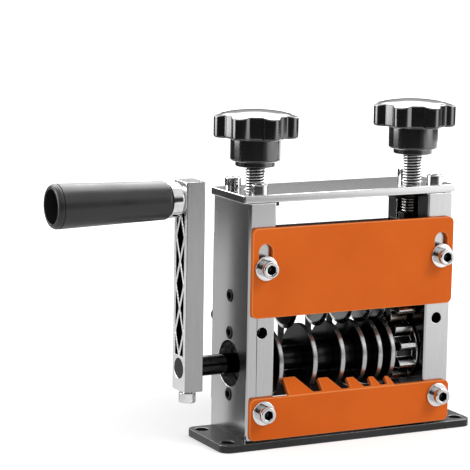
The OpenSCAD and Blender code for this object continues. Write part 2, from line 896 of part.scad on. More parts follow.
module stud_collar(x) {
    translate([x, 0, block_top + thrust]) tube(collar_d, stud_d + 2 * slip, collar_h);
}

module stud_end_nut(x) {
    translate([x, 0, block_top - journal_h - thrust - end_nut_h])
        rotate(30) hex_nut(end_nut_flats, stud_tip_d + 2 * slip, end_nut_h);
}

module stud_left() {
    color("#c4c4c4") stud(-stud_x, 0);
}

module stud_right() {
    color("#c4c4c4") stud(stud_x, knob_r_lift);
}

module stud_collar_left() {
    color("#2a2a2a") stud_collar(-stud_x);
}

module stud_collar_right() {
    color("#2a2a2a") stud_collar(stud_x);
}

module stud_end_nut_left() {
    color("#9a9a9a") stud_end_nut(-stud_x);
}

module stud_end_nut_right() {
    color("#9a9a9a") stud_end_nut(stud_x);
}

// Outline of one gear, a tooth pointing along +X
steps = 6;
module gear_outline() {
    start_r = max(gear_root_r, gear_base_r);
    radii = [for (k = [0 : steps]) start_r + k * (gear_tip_r - start_r) / steps];
    points = [for (i = [0 : gear_teeth - 1])
        let (mid = i * 360 / gear_teeth, foot = half_tooth(start_r))
        each concat(
            [gear_root_r * [cos(mid - foot), sin(mid - foot)]],
            [for (r = radii) r * [cos(mid - half_tooth(r)), sin(mid - half_tooth(r))]],
            [for (k = [steps : -1 : 0]) let (r = radii[k])
                r * [cos(mid + half_tooth(r)), sin(mid + half_tooth(r))]],
            [gear_root_r * [cos(mid + foot), sin(mid + foot)]])];
    polygon(points);
}

// The square key's slot, cut in whatever rides on a shaft
key_sink = 0.5;
module key_room(length) {
    translate([-key_s / 2 - slip, 0, -over])
        cube([key_s + 2 * slip, shaft_d / 2 + key_s * key_sink + slip, length + 2 * over]);
}

module shaft_ring(outer_d, length) {
    difference() {
        cylinder(h = length, d = outer_d);
        translate([0, 0, -over]) cylinder(h = length + 2 * over, d = shaft_d + 2 * slip);
        key_room(length);
    }
}

// A gear, with any thin flange at its far end
module gear(turn, length, flange) {
    difference() {
        union() {
            rotate(turn) linear_extrude(length + flange / 2) gear_outline();
            if (flange > 0) translate([0, 0, length]) cylinder(h = flange, d = flange_d);
        }
        translate([0, 0, -over])
            cylinder(h = length + flange + 2 * over, d = shaft_d + 2 * slip);
        key_room(length + flange);
    }
}

// A keyed shaft along Z, its key slot between two places
module keyed_shaft(length, key_from, key_to) {
    difference() {
        cylinder(h = length, d = shaft_d);
        translate([-key_s / 2 - slip, shaft_d / 2 - key_s * (1 - key_sink) - slip, key_from - slip])
            cube([key_s + 2 * slip, key_s, key_to - key_from + 2 * slip]);
    }
}

module key(length) {
    translate([-key_s / 2, shaft_d / 2 - key_s * (1 - key_sink), 0]) cube([key_s, key_s, length]);
}

// Cutter shaft and what it carries
cutter_start = -block_in_x + bush_flange_t + thrust;
cutter_key_end = cutter_gear_x + gear_w;

module cutter_shaft() {
    color("#6c6d70")
    along_x(-cutter_end_x, cutter_z)
        keyed_shaft(2 * cutter_end_x, cutter_start + cutter_end_x, cutter_key_end + cutter_end_x);
}

module cutter_key() {
    color("#8a8a8a") along_x(cutter_start, cutter_z) key(cutter_key_end - cutter_start);
}

blade_r = mesh_c - disc_d / 2 + blade_overlap;
module cutter_blades() {
    flat_r = blade_r - blade_bevel;
    color("#77797d")
    for (i = [0 : channels - 1]) along_x(channel_x(i) - blade_t / 2, cutter_z)
        difference() {
            rotate_extrude()
                polygon([[0, 0], [flat_r, 0], [blade_r, blade_t * edge_share],
                    [blade_r, blade_t * (1 - edge_share)], [flat_r, blade_t], [0, blade_t]]);
            translate([0, 0, -over]) cylinder(h = blade_t + 2 * over, d = shaft_d + 2 * slip);
            key_room(blade_t);
        }
}

// Where the ground edge starts across the blade
edge_share = 0.45;

module blade_spacers() {
    ends = concat([for (i = [0 : channels - 1]) channel_x(i) - blade_t / 2], [cutter_gear_x]);
    starts = concat([cutter_start], [for (i = [0 : channels - 1]) channel_x(i) + blade_t / 2]);
    color("#4c4d50")
    for (i = [0 : channels]) along_x(starts[i], cutter_z)
        shaft_ring(blade_spacer_d, ends[i] - starts[i]);
}

// The cutter gear's teeth stand in the drive gear's spaces at rest
module cutter_gear() {
    color("#b3b3b0") along_x(cutter_gear_x, cutter_z) gear(180 + mesh_turn, gear_w, 0);
}

// Drive shaft and what it carries
shaft_tail = 3;
drive_end_x = bearing_out_x + shaft_tail;

module drive_shaft() {
    start = arm_out_x + slip;
    color("#222224")
    along_x(start, drive_z)
        keyed_shaft(drive_end_x - start, disc_x(0) - start, gear_end_x - start);
}

module drive_key() {
    color("#8a8a8a") along_x(disc_x(0), drive_z) key(gear_end_x - disc_x(0));
}

module feed_discs() {
    rim_r = disc_d / 2;
    color("#3a3b3e")
    for (i = [0 : channels]) along_x(disc_x(i), drive_z)
        difference() {
            rotate_extrude()
                polygon([[0, 0], [rim_r - disc_bevel, 0], [rim_r, disc_bevel],
                    [rim_r, disc_t - disc_bevel], [rim_r - disc_bevel, disc_t], [0, disc_t]]);
            translate([0, 0, -over]) cylinder(h = disc_t + 2 * over, d = shaft_d + 2 * slip);
            key_room(disc_t);
        }
}

// Stepped sleeves at the bottom of the cable channels
step_w = 1;
step_h = 0.8;
function hub_r(i) = disc_d / 2 - blade_overlap - cable_gap[i];
module channel_sleeves() {
    color("#2c2d30") {
        for (i = [0 : channels - 1]) along_x(disc_x(i) + disc_t, drive_z) difference() {
            union() {
                cylinder(h = channel_w[i], r = hub_r(i) - step_h);
                translate([0, 0, step_w])
                    cylinder(h = channel_w[i] - 2 * step_w, r = hub_r(i));
            }
            translate([0, 0, -over]) cylinder(h = channel_w[i] + 2 * over, d = shaft_d + 2 * slip);
            key_room(channel_w[i]);
        }
        along_x(disc_x(channels) + disc_t, drive_z) shaft_ring(blade_spacer_d, gear_gap);
    }
}

// Plain sleeves from the bearings' inner rings to the row
module end_sleeves() {
    color("#55565a") {
        along_x(-bearing_x, drive_z)
            tube(end_sleeve_d, shaft_d + 2 * slip, bearing_x - inner_x + left_gap);
        along_x(gear_end_x + flange_t, drive_z)
            tube(end_sleeve_d, shaft_d + 2 * slip, bearing_x - gear_end_x - flange_t);
    }
}

module drive_gear() {
    color("#9c9c9a")
    along_x(gear_x, drive_z) gear(180 - mesh_turn, gear_w, flange_t);
}

// External circlips outside the two bearings
module shaft_circlips() {
    color("#2a2a2a")
    both_ends() along_x(bearing_out_x, drive_z)
        difference() {
            tube(shaft_d + 2 * circlip_web, shaft_d + 2 * slip, circlip_t);
            translate([-shaft_d, -circlip_web / 2, -over])
                cube([shaft_d, circlip_web, circlip_t + 2 * over]);
        }
}

module crank_arm() {
    length = arm_foot + crank_r + arm_head;
    color("#a9a9a7")
    difference() {
        translate([arm_x - arm_w / 2, 0, drive_z - arm_foot])
            linear_extrude(length) rounded_square(arm_w, arm_d, arm_edge_r);
        along_x(arm_out_x - over, drive_z) cylinder(h = arm_w + 2 * over, d = shaft_d + 2 * slip);
        along_x(arm_out_x - over, grip_z) cylinder(h = arm_w + 2 * over, d = bolt_d + 2 * slip);
        translate([arm_x - arm_w / 2, 0, drive_z - arm_foot - over])
            cylinder(h = arm_foot + over, d = screw_d + 2 * slip);
        translate([arm_out_x - over, 0, drive_z + crank_r / 2])
            rotate([0, 90, 0]) rotate(90) linear_extrude(pocket_depth + over) lattice();
    }
}

// The pocket is the window less two zigzag ribs that cross once a cell
module lattice() {
    length = lattice_cells * lattice_pitch;
    half = lattice_pitch / 2;
    lean = atan2(pocket_w / 2, half);
    rib_len = sqrt(half * half + pocket_w * pocket_w / 4);
    difference() {
        square([pocket_w, length], center = true);
        intersection() {
            square([pocket_w, length + 2 * over], center = true);
            union() for (i = [0 : 2 * lattice_cells - 1], s = [-1, 1])
                translate([s * pocket_w / 4, -length / 2 + (i + 0.5) * half])
                    rotate(s * (i % 2 == 0 ? -lean : lean))
                        square([lattice_rib, rib_len + lattice_rib], center = true);
        }
    }
}

// Cap screw from below that clamps the arm on the shaft
module crank_clamp_screw() {
    seat_z = drive_z - arm_foot - clamp_neck;
    color("silver")
    translate([arm_x - arm_w / 2, 0, seat_z]) mirror([0, 0, 1])
        cap_screw(screw_d, screw_head_d, screw_head_h, screw_hex, screw_socket,
            drive_z - shaft_d / 2 - slip - seat_z);
}

// Grip, the bolt that it turns on, and the collar that keeps it off the arm
module grip_spacer() {
    color("silver") along_x(arm_out_x - spacer_len, grip_z)
        difference() {
            union() {
                cylinder(h = spacer_len - spacer_neck_len, d = spacer_d);
                cylinder(h = spacer_len, d = spacer_neck_d);
            }
            translate([0, 0, -over]) cylinder(h = spacer_len + 2 * over, d = bolt_d + 2 * slip);
        }
}

module grip_bolt() {
    seat_x = grip_x - grip_web - thrust;
    color("#b5b5b5")
    along_x(seat_x, grip_z) mirror([0, 0, 1])
        cap_screw(bolt_d, bolt_head_d, bolt_head_h, screw_hex, screw_socket, arm_x - seat_x);
}

module grip_sleeve() {
    inner_r = grip_neck_d / 2;
    groove_r = grip_d / 2 - grip_groove_depth;
    color("#1a1a1b")
    along_x(grip_x - grip_len, grip_z)
        difference() {
            rotate_extrude() polygon([
                [0, 0],
                [grip_d / 2 - grip_nose_w, 0],
                [grip_d / 2 - grip_nose_w * nose_bulge_share, grip_nose_len * nose_bulge_share],
                [grip_d / 2, grip_nose_len],
                [grip_d / 2, grip_groove_in - grip_groove_w],
                [groove_r, grip_groove_in - grip_groove_w],
                [groove_r, grip_groove_in],
                [grip_d / 2, grip_groove_in],
                [inner_r, grip_len - grip_lip_r],
                [inner_r - grip_lip_r, grip_len],
                [0, grip_len]]);
            translate([0, 0, -over]) cylinder(h = grip_len - grip_web + over, d = grip_bore_d);
            cylinder(h = grip_len + over, d = bolt_d + 2 * run);
        }
}

base_plate();
side_plate_left();
side_plate_right();
top_plate();
top_plate_screws();
base_screws();
stud_nuts();
bearing_outer_rings();
bearing_balls();
bearing_seals();
bearing_circlips();
bearing_keepers();
keeper_screws();
block_lock_screws();
lower_cover();
lower_cover_screws();
lower_cover_washers();
back_cover();
back_cover_screws();
upper_cover_screws();
upper_cover_washers();
upper_cover();
bearing_block_left();
bearing_block_right();
cutter_bushes();
knob_left();
stud_left();
stud_collar_left();
stud_end_nut_left();
knob_right();
stud_right();
stud_collar_right();
stud_end_nut_right();
cutter_shaft();
cutter_key();
cutter_blades();
blade_spacers();
cutter_gear();
drive_shaft();
drive_key();
feed_discs();
channel_sleeves();
end_sleeves();
drive_gear();
bearing_inner_rings();
shaft_circlips();
crank_arm();
crank_clamp_screw();
grip_bolt();
grip_spacer();
grip_sleeve();
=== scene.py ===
import json
import math

import bmesh
import bpy
from mathutils import Matrix, Vector


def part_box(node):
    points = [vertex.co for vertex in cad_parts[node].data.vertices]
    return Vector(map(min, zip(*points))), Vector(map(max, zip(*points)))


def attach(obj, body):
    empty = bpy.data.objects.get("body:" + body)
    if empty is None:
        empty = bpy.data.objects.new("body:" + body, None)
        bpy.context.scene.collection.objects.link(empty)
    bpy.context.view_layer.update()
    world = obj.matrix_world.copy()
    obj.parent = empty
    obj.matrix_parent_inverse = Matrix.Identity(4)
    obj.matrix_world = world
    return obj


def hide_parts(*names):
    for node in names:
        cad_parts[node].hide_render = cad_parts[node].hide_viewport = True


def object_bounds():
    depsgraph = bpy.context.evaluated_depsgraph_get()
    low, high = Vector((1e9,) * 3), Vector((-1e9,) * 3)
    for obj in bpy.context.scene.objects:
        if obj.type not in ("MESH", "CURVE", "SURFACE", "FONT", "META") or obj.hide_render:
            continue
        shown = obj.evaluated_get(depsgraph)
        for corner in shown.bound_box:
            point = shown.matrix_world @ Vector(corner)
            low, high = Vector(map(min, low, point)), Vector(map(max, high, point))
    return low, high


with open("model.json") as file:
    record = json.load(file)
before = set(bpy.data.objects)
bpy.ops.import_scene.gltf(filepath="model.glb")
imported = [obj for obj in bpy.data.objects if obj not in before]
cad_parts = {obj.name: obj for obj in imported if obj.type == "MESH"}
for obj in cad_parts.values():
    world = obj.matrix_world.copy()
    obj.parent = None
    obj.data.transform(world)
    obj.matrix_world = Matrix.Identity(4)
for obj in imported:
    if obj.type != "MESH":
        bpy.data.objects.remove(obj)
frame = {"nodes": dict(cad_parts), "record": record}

cad_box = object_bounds()
mm = 0.001

# The camera looks down a little from the front left, through a long lens. Its place and turn
# come from the corners of the base, the plates and the covers in the photograph.
camera_place = Vector((-0.6555, -1.1410, 0.3349))
camera_lens = 169.28
yaw, pitch, roll = (math.radians(angle) for angle in (-27.289, 9.302, -0.985))
backward = Vector((math.sin(yaw) * math.cos(pitch), -math.cos(yaw) * math.cos(pitch),
    math.sin(pitch)))
level = Vector((math.cos(yaw), math.sin(yaw), 0))
upward = backward.cross(level)
across = level * math.cos(roll) - upward * math.sin(roll)
axes = (across, backward.cross(across), backward)
scene = bpy.context.scene
camera = bpy.data.objects.new("camera", bpy.data.cameras.new("camera"))
camera.matrix_world = Matrix.Translation(camera_place) @ Matrix(axes).transposed().to_4x4()
camera.data.lens = camera_lens
camera.data.sensor_width = 36
camera.data.clip_start = 0.05
scene.collection.objects.link(camera)
scene.camera = camera
scene.view_settings.view_transform = "Standard"


# The studio is a pale floor under white surroundings, with a soft lamp on the right and a weaker
# one on the left. Round it stands a tent of bright and dark panels that only reflections see.
def operator(operation, reflected=False):
    """A method that writes a sum on sockets as a Math node."""
    def method(left, right=0.0):
        pair = (right, left) if reflected else (left, right)
        return left.graph.node("ShaderNodeMath", {"operation": operation}, dict(enumerate(pair)))
    return method


class Socket:
    """One output of a node, which takes part in sums."""
    __add__, __radd__ = operator("ADD"), operator("ADD", True)
    __sub__, __rsub__ = operator("SUBTRACT"), operator("SUBTRACT", True)
    __mul__, __rmul__ = operator("MULTIPLY"), operator("MULTIPLY", True)
    __truediv__, __rtruediv__ = operator("DIVIDE"), operator("DIVIDE", True)
    __pow__, __rpow__ = operator("POWER"), operator("POWER", True)
    __gt__, __lt__ = operator("GREATER_THAN"), operator("LESS_THAN")
    __abs__ = operator("ABSOLUTE")

    def __init__(self, graph, output):
        self.graph = graph
        self.output = output

    def maths(self, operation, *values):
        terms = dict(enumerate((self, *values)))
        return self.graph.node("ShaderNodeMath", {"operation": operation}, terms)

    def other(self, name):
        return Socket(self.graph, self.output.node.outputs[name])


class Graph:
    """A node tree, grown one node at a time."""

    def __init__(self, tree):
        self.tree = tree

    def node(self, kind, settings=None, values=None, output=0):
        """Adds a node: first its settings, then the values or links of its sockets."""
        made = self.tree.nodes.new(kind)
        for name, value in (settings or {}).items():
            setattr(made, name, value)
        for name, value in (values or {}).items():
            if isinstance(value, Socket):
                self.tree.links.new(value.output, made.inputs[name])
            else:
                made.inputs[name].default_value = value
        return Socket(self, made.outputs[output]) if made.outputs else None


class Finish(Graph):
    """A material with one Principled shader, fed by whatever varies over the surface."""

    def __init__(self, name, fixed=None):
        self.material = bpy.data.materials.new(name)
        self.material.use_nodes = True
        super().__init__(self.material.node_tree)
        self.shader = self.tree.nodes["Principled BSDF"]
        self.place = self.node("ShaderNodeTexCoord", output="Object")
        self.x = self.node("ShaderNodeSeparateXYZ", None, {0: self.place})
        self.y, self.z = self.x.other("Y"), self.x.other("Z")
        self.relief = None
        for socket, value in (fixed or {}).items():
            self.shader.inputs[socket].default_value = value

    def feed(self, socket, value):
        self.tree.links.new(value.output, self.shader.inputs[socket])

    def noise(self, scale, stretch=(1, 1, 1), detail=2.0):
        """Cloudy noise, drawn out by a stretch along each axis."""
        where = self.node("ShaderNodeVectorMath", {"operation": "MULTIPLY"},
            {0: self.place, 1: stretch})
        return self.node("ShaderNodeTexNoise", None,
            {"Vector": where, "Scale": scale, "Detail": detail})

    def blend(self, factor, a, b):
        """Colour a where the factor is 0, colour b where it is 1."""
        return self.node("ShaderNodeMix", {"data_type": "RGBA"}, {0: factor, 6: a, 7: b}, output=2)

    def spread(self, value, start, end, low=0.0, high=1.0):
        """Stretches the values from start to end over low to high, and holds them there."""
        ends = dict(enumerate((value, start, end, low, high)))
        return self.node("ShaderNodeMapRange", None, ends)

    def emboss(self, height, depth):
        values = {"Height": height, "Distance": depth, "Strength": 1.0}
        if self.relief:
            values["Normal"] = self.relief
        self.relief = self.node("ShaderNodeBump", None, values)
        self.feed("Normal", self.relief)


def grey(level):
    return (level, level, level, 1)


def warm(red, green, blue):
    return (red, green, blue, 1)


room_light = 0.5
world = bpy.data.worlds.new("studio")
world.use_nodes = True
scene.world = world
sky = Graph(world.node_tree)
rays = sky.node("ShaderNodeLightPath")
seen = rays + rays.other("Is Glossy Ray") + rays.other("Is Transmission Ray")
seen = seen.maths("MINIMUM", 1.0)
backdrop = sky.tree.nodes["Background"].inputs
backdrop["Color"].default_value = grey(1)
sky.tree.links.new((room_light + seen * (1 - room_light)).output, backdrop["Strength"])


def staged(name, finish, build):
    """A mesh of the studio, not of the product."""
    shell = bmesh.new()
    build(shell)
    mesh = bpy.data.meshes.new(name)
    shell.to_mesh(mesh)
    shell.free()
    mesh.materials.append(finish.material)
    made = bpy.data.objects.new(name, mesh)
    scene.collection.objects.link(made)
    return made


paper = Finish("pale_paper", {"Base Color": grey(0.82), "Roughness": 0.9,
    "Specular IOR Level": 0.0, "Emission Strength": 1.0})
rays = paper.node("ShaderNodeLightPath")
reach = (paper.x * paper.x + paper.y * paper.y) ** 0.5
glow = paper.spread(reach, 0.08, 0.4, 0.45, 1.0)
paper.feed("Emission Color", paper.blend(rays * glow, grey(0), grey(1)))
floor_half = 6.0


def build_floor(shell):
    bmesh.ops.create_grid(shell, x_segments=1, y_segments=1, size=floor_half)


staged("floor", paper, build_floor)

tent_r = 1.5
tent_low = 0.2 * mm
tent_light = {"Base Color": grey(0), "Specular IOR Level": 0.0, "Emission Strength": 6.0}
panels = Finish("reflector_panels", tent_light)
facing = Vector((backward.x, backward.y)).normalized()
toward = panels.x * facing.x + panels.y * facing.y
aside = panels.y * facing.x - panels.x * facing.y
turn = aside.maths("ARCTAN2", toward) * (180 / math.pi)
rise = panels.z / tent_r


def window(value, start, full, fade, end):
    """Rises from start to full, and falls again from fade to end."""
    return panels.spread(value, start, full) * panels.spread(value, end, fade)


# Turns are degrees from the camera's side, and rises are shares of the tent's height. The walls
# have a bright strip on either side and a skyline at the back. The table brightens along X.
left_strip = window(turn, -112, -106, -82, -75)
right_panel = window(turn, 55, 72, 86, 104) * 0.5
sides = panels.spread(rise, 0.62, 0.5) * (left_strip + right_panel)
sky_line = panels.spread(rise, 0.225, 0.245, 0.02, 0.09) + panels.spread(rise, 0.39, 0.52, 0, 0.9)
overhead = panels.spread(rise, 0.35, 0.6, 0, 0.16)
walls = sides + overhead + panels.spread(abs(turn), 108, 118) * sky_line + 0.007
far = (panels.x * panels.x + panels.y * panels.y) ** 0.5
far_end = panels.spread(panels.x, 0, 0.3, 0.015, 0.06) + panels.spread(panels.x, 0.4, 0.62, 0, 0.24)
near_end = panels.spread(panels.x, 0.1, 0.28, 0.155, 0.22)
to_far = panels.spread(far, 0.75, 0.95)
table = (near_end * (1 - to_far) + far_end * to_far) * panels.spread(aside, -0.25, -0.05, 0.8, 1.0)
on_table = rise < 0.001
glow = (on_table * table + (1 - on_table) * walls).maths("MINIMUM", 1.0)
panels.feed("Emission Color", panels.blend(glow, grey(0), grey(1)))


def build_tent(shell):
    """Half a sphere that stands on the floor, with a bottom just above it."""
    bmesh.ops.create_uvsphere(shell, u_segments=64, v_segments=32, radius=tent_r)
    bmesh.ops.bisect_plane(shell, geom=shell.verts[:] + shell.edges[:] + shell.faces[:],
        plane_co=(0, 0, tent_low), plane_no=(0, 0, 1), clear_inner=True)
    bmesh.ops.holes_fill(shell, edges=[edge for edge in shell.edges if edge.is_boundary])


def build_flag(shell):
    """A small upright card behind the crank, which darkens the front half of the left plate."""
    (left, right), (foot, top), y = (-0.110, -0.088), (0.001, 0.145), 0.035
    outline = ((left, foot), (right, foot), (right, top), (left, top))
    shell.faces.new([shell.verts.new((x, y, z)) for x, z in outline])


card = Finish("dark_card", {"Base Color": grey(0.14), "Roughness": 1.0, "Specular IOR Level": 0.0})
for unseen in (staged("reflector_tent", panels, build_tent), staged("dark_flag", card, build_flag)):
    unseen.visible_camera = False
    unseen.visible_diffuse = False
    unseen.visible_shadow = False
    unseen.visible_transmission = False


def lamp(name, place, aim, size, power):
    light = bpy.data.lights.new(name, "AREA")
    light.shape = "RECTANGLE"
    light.size, light.size_y = size
    light.energy = power
    made = bpy.data.objects.new(name, light)
    made.location = place
    made.rotation_euler = (Vector(place) - Vector(aim)).to_track_quat("Z", "Y").to_euler()
    made.visible_glossy = False
    scene.collection.objects.link(made)


middle = (cad_box[0] + cad_box[1]) / 2
lamp("key_lamp", (0.9, -1.0, 1.25), middle, size=(0.7, 0.7), power=12)
lamp("side_lamp", (-1.3, -0.3, 0.8), middle, size=(0.6, 0.9), power=4)


# The base plate is thick gunmetal, blackened and polished, with its edges broken and a painted
# highlight on them. Four plain holes take the bench bolts, and countersunk screws come up into the
# side plates.
bodies = frame["record"]["behaviour"]["bodies"]
home = {node: body for body, nodes in bodies.items() for node in nodes}


def stand_for(piece, *nodes):
    """The piece rides with the nodes that it replaces."""
    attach(piece, home[nodes[0]])
    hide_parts(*nodes)
    return piece


def settled(piece):
    """Turns what the modifiers show into a plain mesh, and takes them off."""
    shown = piece.evaluated_get(bpy.context.evaluated_depsgraph_get())
    mesh = bpy.data.meshes.new_from_object(shown)
    piece.modifiers.clear()
    piece.data = mesh
    mesh.name = piece.name
    return piece


def smoothed(piece, sharp_from=35):
    """Shades smooth, with the corners sharper than an angle left crisp."""
    piece.data.shade_smooth()
    piece.data.set_sharp_from_angle(angle=math.radians(sharp_from))
    even = piece.modifiers.new("even", "WEIGHTED_NORMAL")
    even.keep_sharp = True
    return settled(piece)


def edged(node, width, finish, highlight_finish=None, steps=3):
    """A copy of a node with its corners rounded a little, the rounding perhaps in a second finish
    that paints a highlight along it.
    """
    mesh = frame["nodes"][node].data.copy()
    if "custom_normal" in mesh.attributes:
        mesh.attributes.remove(mesh.attributes["custom_normal"])
    shell = bmesh.new()
    shell.from_mesh(mesh)
    bmesh.ops.remove_doubles(shell, verts=shell.verts, dist=1e-6)
    bmesh.ops.dissolve_limit(shell, angle_limit=math.radians(1), verts=shell.verts,
        edges=shell.edges)
    shell.to_mesh(mesh)
    shell.free()
    mesh.materials.clear()
    mesh.materials.append(finish.material)
    mesh.materials.append((highlight_finish or finish).material)
    for face in mesh.polygons:
        face.material_index = 0
    piece = bpy.data.objects.new(node + "_finished", mesh)
    scene.collection.objects.link(piece)
    bevel = piece.modifiers.new("broken_edges", "BEVEL")
    bevel.width = width
    bevel.segments = steps
    bevel.limit_method = "ANGLE"
    bevel.angle_limit = math.radians(30)
    bevel.use_clamp_overlap = False
    bevel.material = 1
    return stand_for(smoothed(settled(piece)), node)


def worked_metal(name, dark, light, gloss, grain, depth=0.004 * mm, cloud=14, fixed=None):
    """Machined metal: a tone that drifts, fine lines along the grain and an uneven gloss."""
    finish = Finish(name, {"Metallic": 1.0, **(fixed or {})})
    drift = finish.noise(cloud, detail=3)
    lines = finish.noise(1, grain, 3)
    mixed = drift * 0.6 + lines * 0.4
    finish.feed("Base Color", finish.blend(finish.spread(mixed, 0.3, 0.7), dark, light))
    finish.feed("Roughness", finish.spread(mixed, 0.3, 0.7, *gloss))
    finish.emboss(lines, depth)
    return finish


# Painted highlight: a light steel for the rounded edges of the gears.
worn_steel = worked_metal("worn_steel", grey(0.45), grey(0.7), (0.18, 0.32), (300, 300, 300))
gunmetal = worked_metal("gunmetal", grey(0.018), grey(0.04), (0.16, 0.3), (260, 900, 900),
    fixed={"Metallic": 0.7})
# Painted highlight: the rounded edges of the base plate are a lighter grey than the gunmetal.
base_edge_highlight = worked_metal("rubbed_gunmetal", grey(0.07), grey(0.16), (0.2, 0.32),
    (300, 300, 300))
edged("base_plate", 0.45 * mm, gunmetal, base_edge_highlight)

black_oxide = worked_metal("black_oxide", grey(0.012), grey(0.03), (0.22, 0.42), (900, 900, 900),
    cloud=60)
edged("base_screws", 0.2 * mm, black_oxide)


# The side plates are upright blocks of satin aluminium, machined all over. Each has a bore for a
# bearing, a channel that a bearing block slides in, and tapped holes in its front, back and top.
def satin(name, dark, light):
    """Aluminium with its fine lines upright."""
    grain = (900, 900, 60)
    return worked_metal(name, dark, light, (0.18, 0.26), grain, depth=0.001 * mm, cloud=9)


def shaded(finish, mask, colour):
    """Puts a colour over what the finish has, where a mask is 1."""
    under = Socket(finish, finish.shader.inputs["Base Color"].links[0].from_socket)
    finish.feed("Base Color", finish.blend(mask, under, colour))


satin_plate = satin("satin_aluminium", grey(0.47), grey(0.54))
plate_low, plate_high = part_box("side_plate_right")
inner_x = plate_low.x
slide_depth, slide_half = 11 * mm, 12.4 * mm
skin = 0.3 * mm
# Painted shade: the inner faces, the slide channel and the spare tapped hole are painted near
# black.
inside = abs(satin_plate.x) < inner_x + skin
channel = (abs(satin_plate.x) < inner_x + slide_depth + skin) * (abs(satin_plate.y) < slide_half)
spare_x, spare_z, spare_r = 60 * mm, 69.6 * mm, 3.4 * mm
to_x, to_z = abs(satin_plate.x) - spare_x, satin_plate.z - spare_z
spare = (to_x * to_x + to_z * to_z < (spare_r + skin) ** 2) * (satin_plate.y > plate_low.y + skin)
shaded(satin_plate, (inside + channel + spare).maths("MINIMUM", 1.0), grey(0.045))
corner_r = 1.5 * mm
corner = abs(satin_plate.x) > plate_high.x - corner_r
corner = corner * (abs(satin_plate.y) > plate_high.y - corner_r)
gloss = Socket(satin_plate, satin_plate.shader.inputs["Roughness"].links[0].from_socket)
satin_plate.feed("Roughness", gloss * (1 - corner * 0.65))
# Painted highlight: the rounded edges of the side plates are a lighter aluminium.
plate_edge_highlight = satin("bright_aluminium_edge", grey(0.7), grey(0.85))
for side in ("left", "right"):
    edged("side_plate_" + side, 0.3 * mm, satin_plate, plate_edge_highlight)


# Each side plate holds a sealed ball bearing between a keeper plate and an internal circlip.
# Socket screws through the plate hold the keeper, and one more bears on the sliding block.
def dress(finish, *nodes):
    """A node whose own shape is right keeps it, and gets the finish."""
    for node in nodes:
        frame["nodes"][node].material_slots[0].material = finish.material


bearing_steel = worked_metal("bearing_steel", grey(0.4), grey(0.6), (0.12, 0.25), (700, 900, 900),
    cloud=50)
dark_steel = worked_metal("dark_steel", grey(0.05), grey(0.09), (0.25, 0.4), (300, 900, 900),
    cloud=40)
spring_steel = worked_metal("spring_steel", grey(0.02), grey(0.05), (0.3, 0.45), (900, 900, 900),
    cloud=60)
rubber = Finish("black_rubber", {"Roughness": 0.6, "Specular IOR Level": 0.4})
rubber.feed("Base Color", rubber.blend(rubber.noise(500, detail=4), grey(0.012), grey(0.03)))
rubber.emboss(rubber.noise(2500), 0.02 * mm)
dress(bearing_steel, "bearing_balls", "bearing_outer_rings", "bearing_inner_rings")
dress(rubber, "bearing_seals")
dress(spring_steel, "bearing_circlips", "shaft_circlips")
edged("bearing_keepers", 0.25 * mm, dark_steel)


def filleted(corners, closed=False, steps=4):
    """The outline through corners of (x, y, radius), each rounded by an arc of its radius."""
    points = []
    for i, (x, y, radius) in enumerate(corners):
        here = Vector((x, y))
        if radius == 0 or (not closed and i in (0, len(corners) - 1)):
            points.append(here)
            continue
        before = (Vector(corners[i - 1][:2]) - here).normalized()
        after = (Vector(corners[(i + 1) % len(corners)][:2]) - here).normalized()
        half = before.angle(after) / 2
        centre = here + (before + after).normalized() * radius / math.sin(half)
        start = (here + before * radius / math.tan(half) - centre).normalized()
        end = (here + after * radius / math.tan(half) - centre).normalized()
        points += [centre + start.slerp(end, step / steps) * radius for step in range(steps + 1)]
    return points


def turned(name, rings, finish, closed=False, sides=48, sharp_from=35):
    """A solid lofted up the Z axis through rings of (radius, height). A radius may be a
    function of the angle."""
    shell = bmesh.new()
    rows = []
    for radius, height in rings:
        if not callable(radius) and radius == 0:
            rows.append([shell.verts.new((0, 0, height))])
            continue
        row = []
        for side in range(sides):
            angle = 2 * math.pi * side / sides
            reach = radius(angle) if callable(radius) else radius
            row.append(shell.verts.new((reach * math.cos(angle), reach * math.sin(angle), height)))
        rows.append(row)
    if closed:
        rows.append(rows[0])
    for low, high in zip(rows, rows[1:]):
        for side in range(sides):
            a, b = low[side % len(low)], low[(side + 1) % len(low)]
            c, d = high[(side + 1) % len(high)], high[side % len(high)]
            shell.faces.new(dict.fromkeys((a, b, c, d)))
    bmesh.ops.recalc_face_normals(shell, faces=shell.faces)
    mesh = bpy.data.meshes.new(name)
    shell.to_mesh(mesh)
    shell.free()
    mesh.materials.append(finish.material)
    piece = bpy.data.objects.new(name, mesh)
    scene.collection.objects.link(piece)
    return smoothed(piece, sharp_from)


def hexagon(flats):
    """Radius of a hexagon over the angle."""
    return lambda angle: flats / 2 / math.cos((angle + math.pi / 6) % (math.pi / 3) - math.pi / 6)


def cap_screw(name, shank, head, flats, socket, length, finish):
    """A socket head screw, the seat of its head at zero. Shank is a diameter, head is (d, h)."""
    head_r, head_h = head[0] / 2, head[1]
    mouth = flats / 2 / math.cos(math.pi / 6) + 0.3 * mm
    outline = filleted([
        (0, -length, 0), (shank / 2, -length, 0.5 * mm), (shank / 2, 0, 0), (head_r, 0, 0.3 * mm),
        (head_r, head_h, 0.8 * mm), (mouth, head_h, 0)])
    socket_rings = [(hexagon(flats), head_h - 0.3 * mm), (hexagon(flats), head_h - socket),
        (0, head_h - socket - 0.5 * mm)]
    return turned(name, [*outline, *socket_rings], finish)


